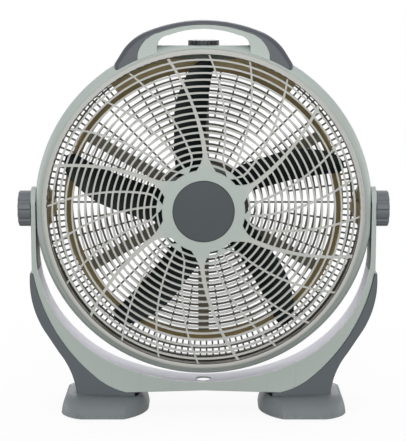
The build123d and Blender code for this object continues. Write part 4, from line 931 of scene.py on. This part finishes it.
class DRUMFAN_OT_studio(bpy.types.Operator):
    """Set up the floor, the background, the lamps and the camera"""
    bl_idname = "drumfan.studio"
    bl_label = "Studio"

    def execute(self, context):
        scene = context.scene
        studio = scene.drumfan_studio
        scene.view_settings.view_transform = "Standard"
        self.add_world(scene, studio)
        self.add_floor(studio)
        for name, (place, side, power, rgb) in LAMPS.items():
            lamp(name, place, side, getattr(studio, power), rgb)
        self.add_camera(scene, studio)
        return {"FINISHED"}

    def add_world(self, scene, studio):
        """White where it is seen, and where it is not, soft light that is stronger overhead."""
        scene.world = bpy.data.worlds.new("studio_world")
        scene.world.use_nodes = True
        graph = Graph(scene.world.node_tree)
        white, low, high = [
            graph.node("ShaderNodeBackground", None, {"Color": tone, "Strength": strength})
            for tone, strength in ((WHITE, 1.0), (WHITE, studio.horizon),
                                   (SKY_TINT, studio.overhead))]
        climb = graph.axes(graph.node("ShaderNodeTexCoord", output="Generated"))[2].most(0.0)
        soft = graph.node("ShaderNodeMixShader", None, {0: climb, 1: low, 2: high})
        seen = seen_directly(graph)
        mixed = graph.node("ShaderNodeMixShader", None, {0: seen, 1: soft, 2: white})
        graph.node("ShaderNodeOutputWorld", None, {"Surface": mixed})

    def add_floor(self, studio):
        """Wide floor that looks white, keeps a soft shadow and throws little light back."""
        shape = bmesh.new()
        bmesh.ops.create_grid(shape, x_segments=1, y_segments=1, size=FLOOR_SIDE)
        floor = loose_object("floor", shape)
        material, graph = new_graph("pale_floor")
        seen, felt = [graph.node("ShaderNodeBsdfDiffuse", None, {"Color": shade(tone, 1.0)})
                      for tone in (studio.floor_seen, studio.floor_felt)]
        glow = graph.node("ShaderNodeEmission", None, {"Color": WHITE, "Strength": 1.0})
        point = graph.place()
        away = graph.node("ShaderNodeVectorMath", {"operation": "LENGTH"}, {0: point}, "Value")
        share = graph.ramp(away / FLOOR_REACH, *FLOOR_GLOW)
        lit = graph.node("ShaderNodeMixShader", None, {0: share, 1: seen, 2: glow})
        mixed = graph.node("ShaderNodeMixShader", None, {0: seen_directly(graph), 1: felt, 2: lit})
        graph.node("ShaderNodeOutputMaterial", None, {"Surface": mixed})
        floor.data.materials.append(material)

    def add_camera(self, scene, studio):
        """Camera at the photograph's angle."""
        data = bpy.data.cameras.new("camera")
        data.sensor_width = SENSOR_WIDTH
        data.lens = studio.focal_pixels * SENSOR_WIDTH / max(IMAGE_WIDTH, IMAGE_HEIGHT)
        data.clip_end = VIEW_LIMIT
        camera = bpy.data.objects.new("camera", data)
        look = Vector((0.0, math.cos(studio.rise), -math.sin(studio.rise)))
        up = Vector((0.0, math.sin(studio.rise), math.cos(studio.rise)))
        aside = Vector((CAMERA_ASIDE, 0.0, 0.0))
        camera.location = RIM_CENTRE - look * studio.distance - up * CAMERA_BELOW + aside
        camera.rotation_euler = look.to_track_quat("-Z", "Y").to_euler()
        scene.collection.objects.link(camera)
        scene.camera = camera


PIECE_OPERATORS = (
    DRUMFAN_OT_shell,
    DRUMFAN_OT_stand,
    DRUMFAN_OT_handle,
    DRUMFAN_OT_blades,
    DRUMFAN_OT_rear,
    DRUMFAN_OT_metals,
    DRUMFAN_OT_studio,
)


class DRUMFAN_PT_panel(bpy.types.Panel):
    """Sidebar panel with the fan's operators and settings"""
    bl_idname = "DRUMFAN_PT_panel"
    bl_label = "Drum fan"
    bl_space_type = "VIEW_3D"
    bl_region_type = "UI"
    bl_category = "Drum fan"

    def draw(self, context):
        for operator in PIECE_OPERATORS:
            self.layout.operator(operator.bl_idname)
        for name in GROUPS:
            group = getattr(context.scene, name)
            box = self.layout.box()
            for key in group.bl_rna.properties.keys():
                if key not in ("rna_type", "name"):
                    box.prop(group, key)


GROUPS = {
    "drumfan_finishes": DRUMFAN_PG_finishes,
    "drumfan_details": DRUMFAN_PG_details,
    "drumfan_studio": DRUMFAN_PG_studio,
}


def register():
    for name, group in GROUPS.items():
        bpy.utils.register_class(group)
        setattr(bpy.types.Scene, name, bpy.props.PointerProperty(type=group))
    for operator in PIECE_OPERATORS:
        bpy.utils.register_class(operator)
    bpy.utils.register_class(DRUMFAN_PT_panel)


def unregister():
    bpy.utils.unregister_class(DRUMFAN_PT_panel)
    for operator in reversed(PIECE_OPERATORS):
        bpy.utils.unregister_class(operator)
    for name, group in reversed(GROUPS.items()):
        delattr(bpy.types.Scene, name)
        bpy.utils.unregister_class(group)


def main():
    register()
    for operator in PIECE_OPERATORS:
        module, name = operator.bl_idname.split(".")
        getattr(getattr(bpy.ops, module), name)()


if __name__ == "__main__":
    main()
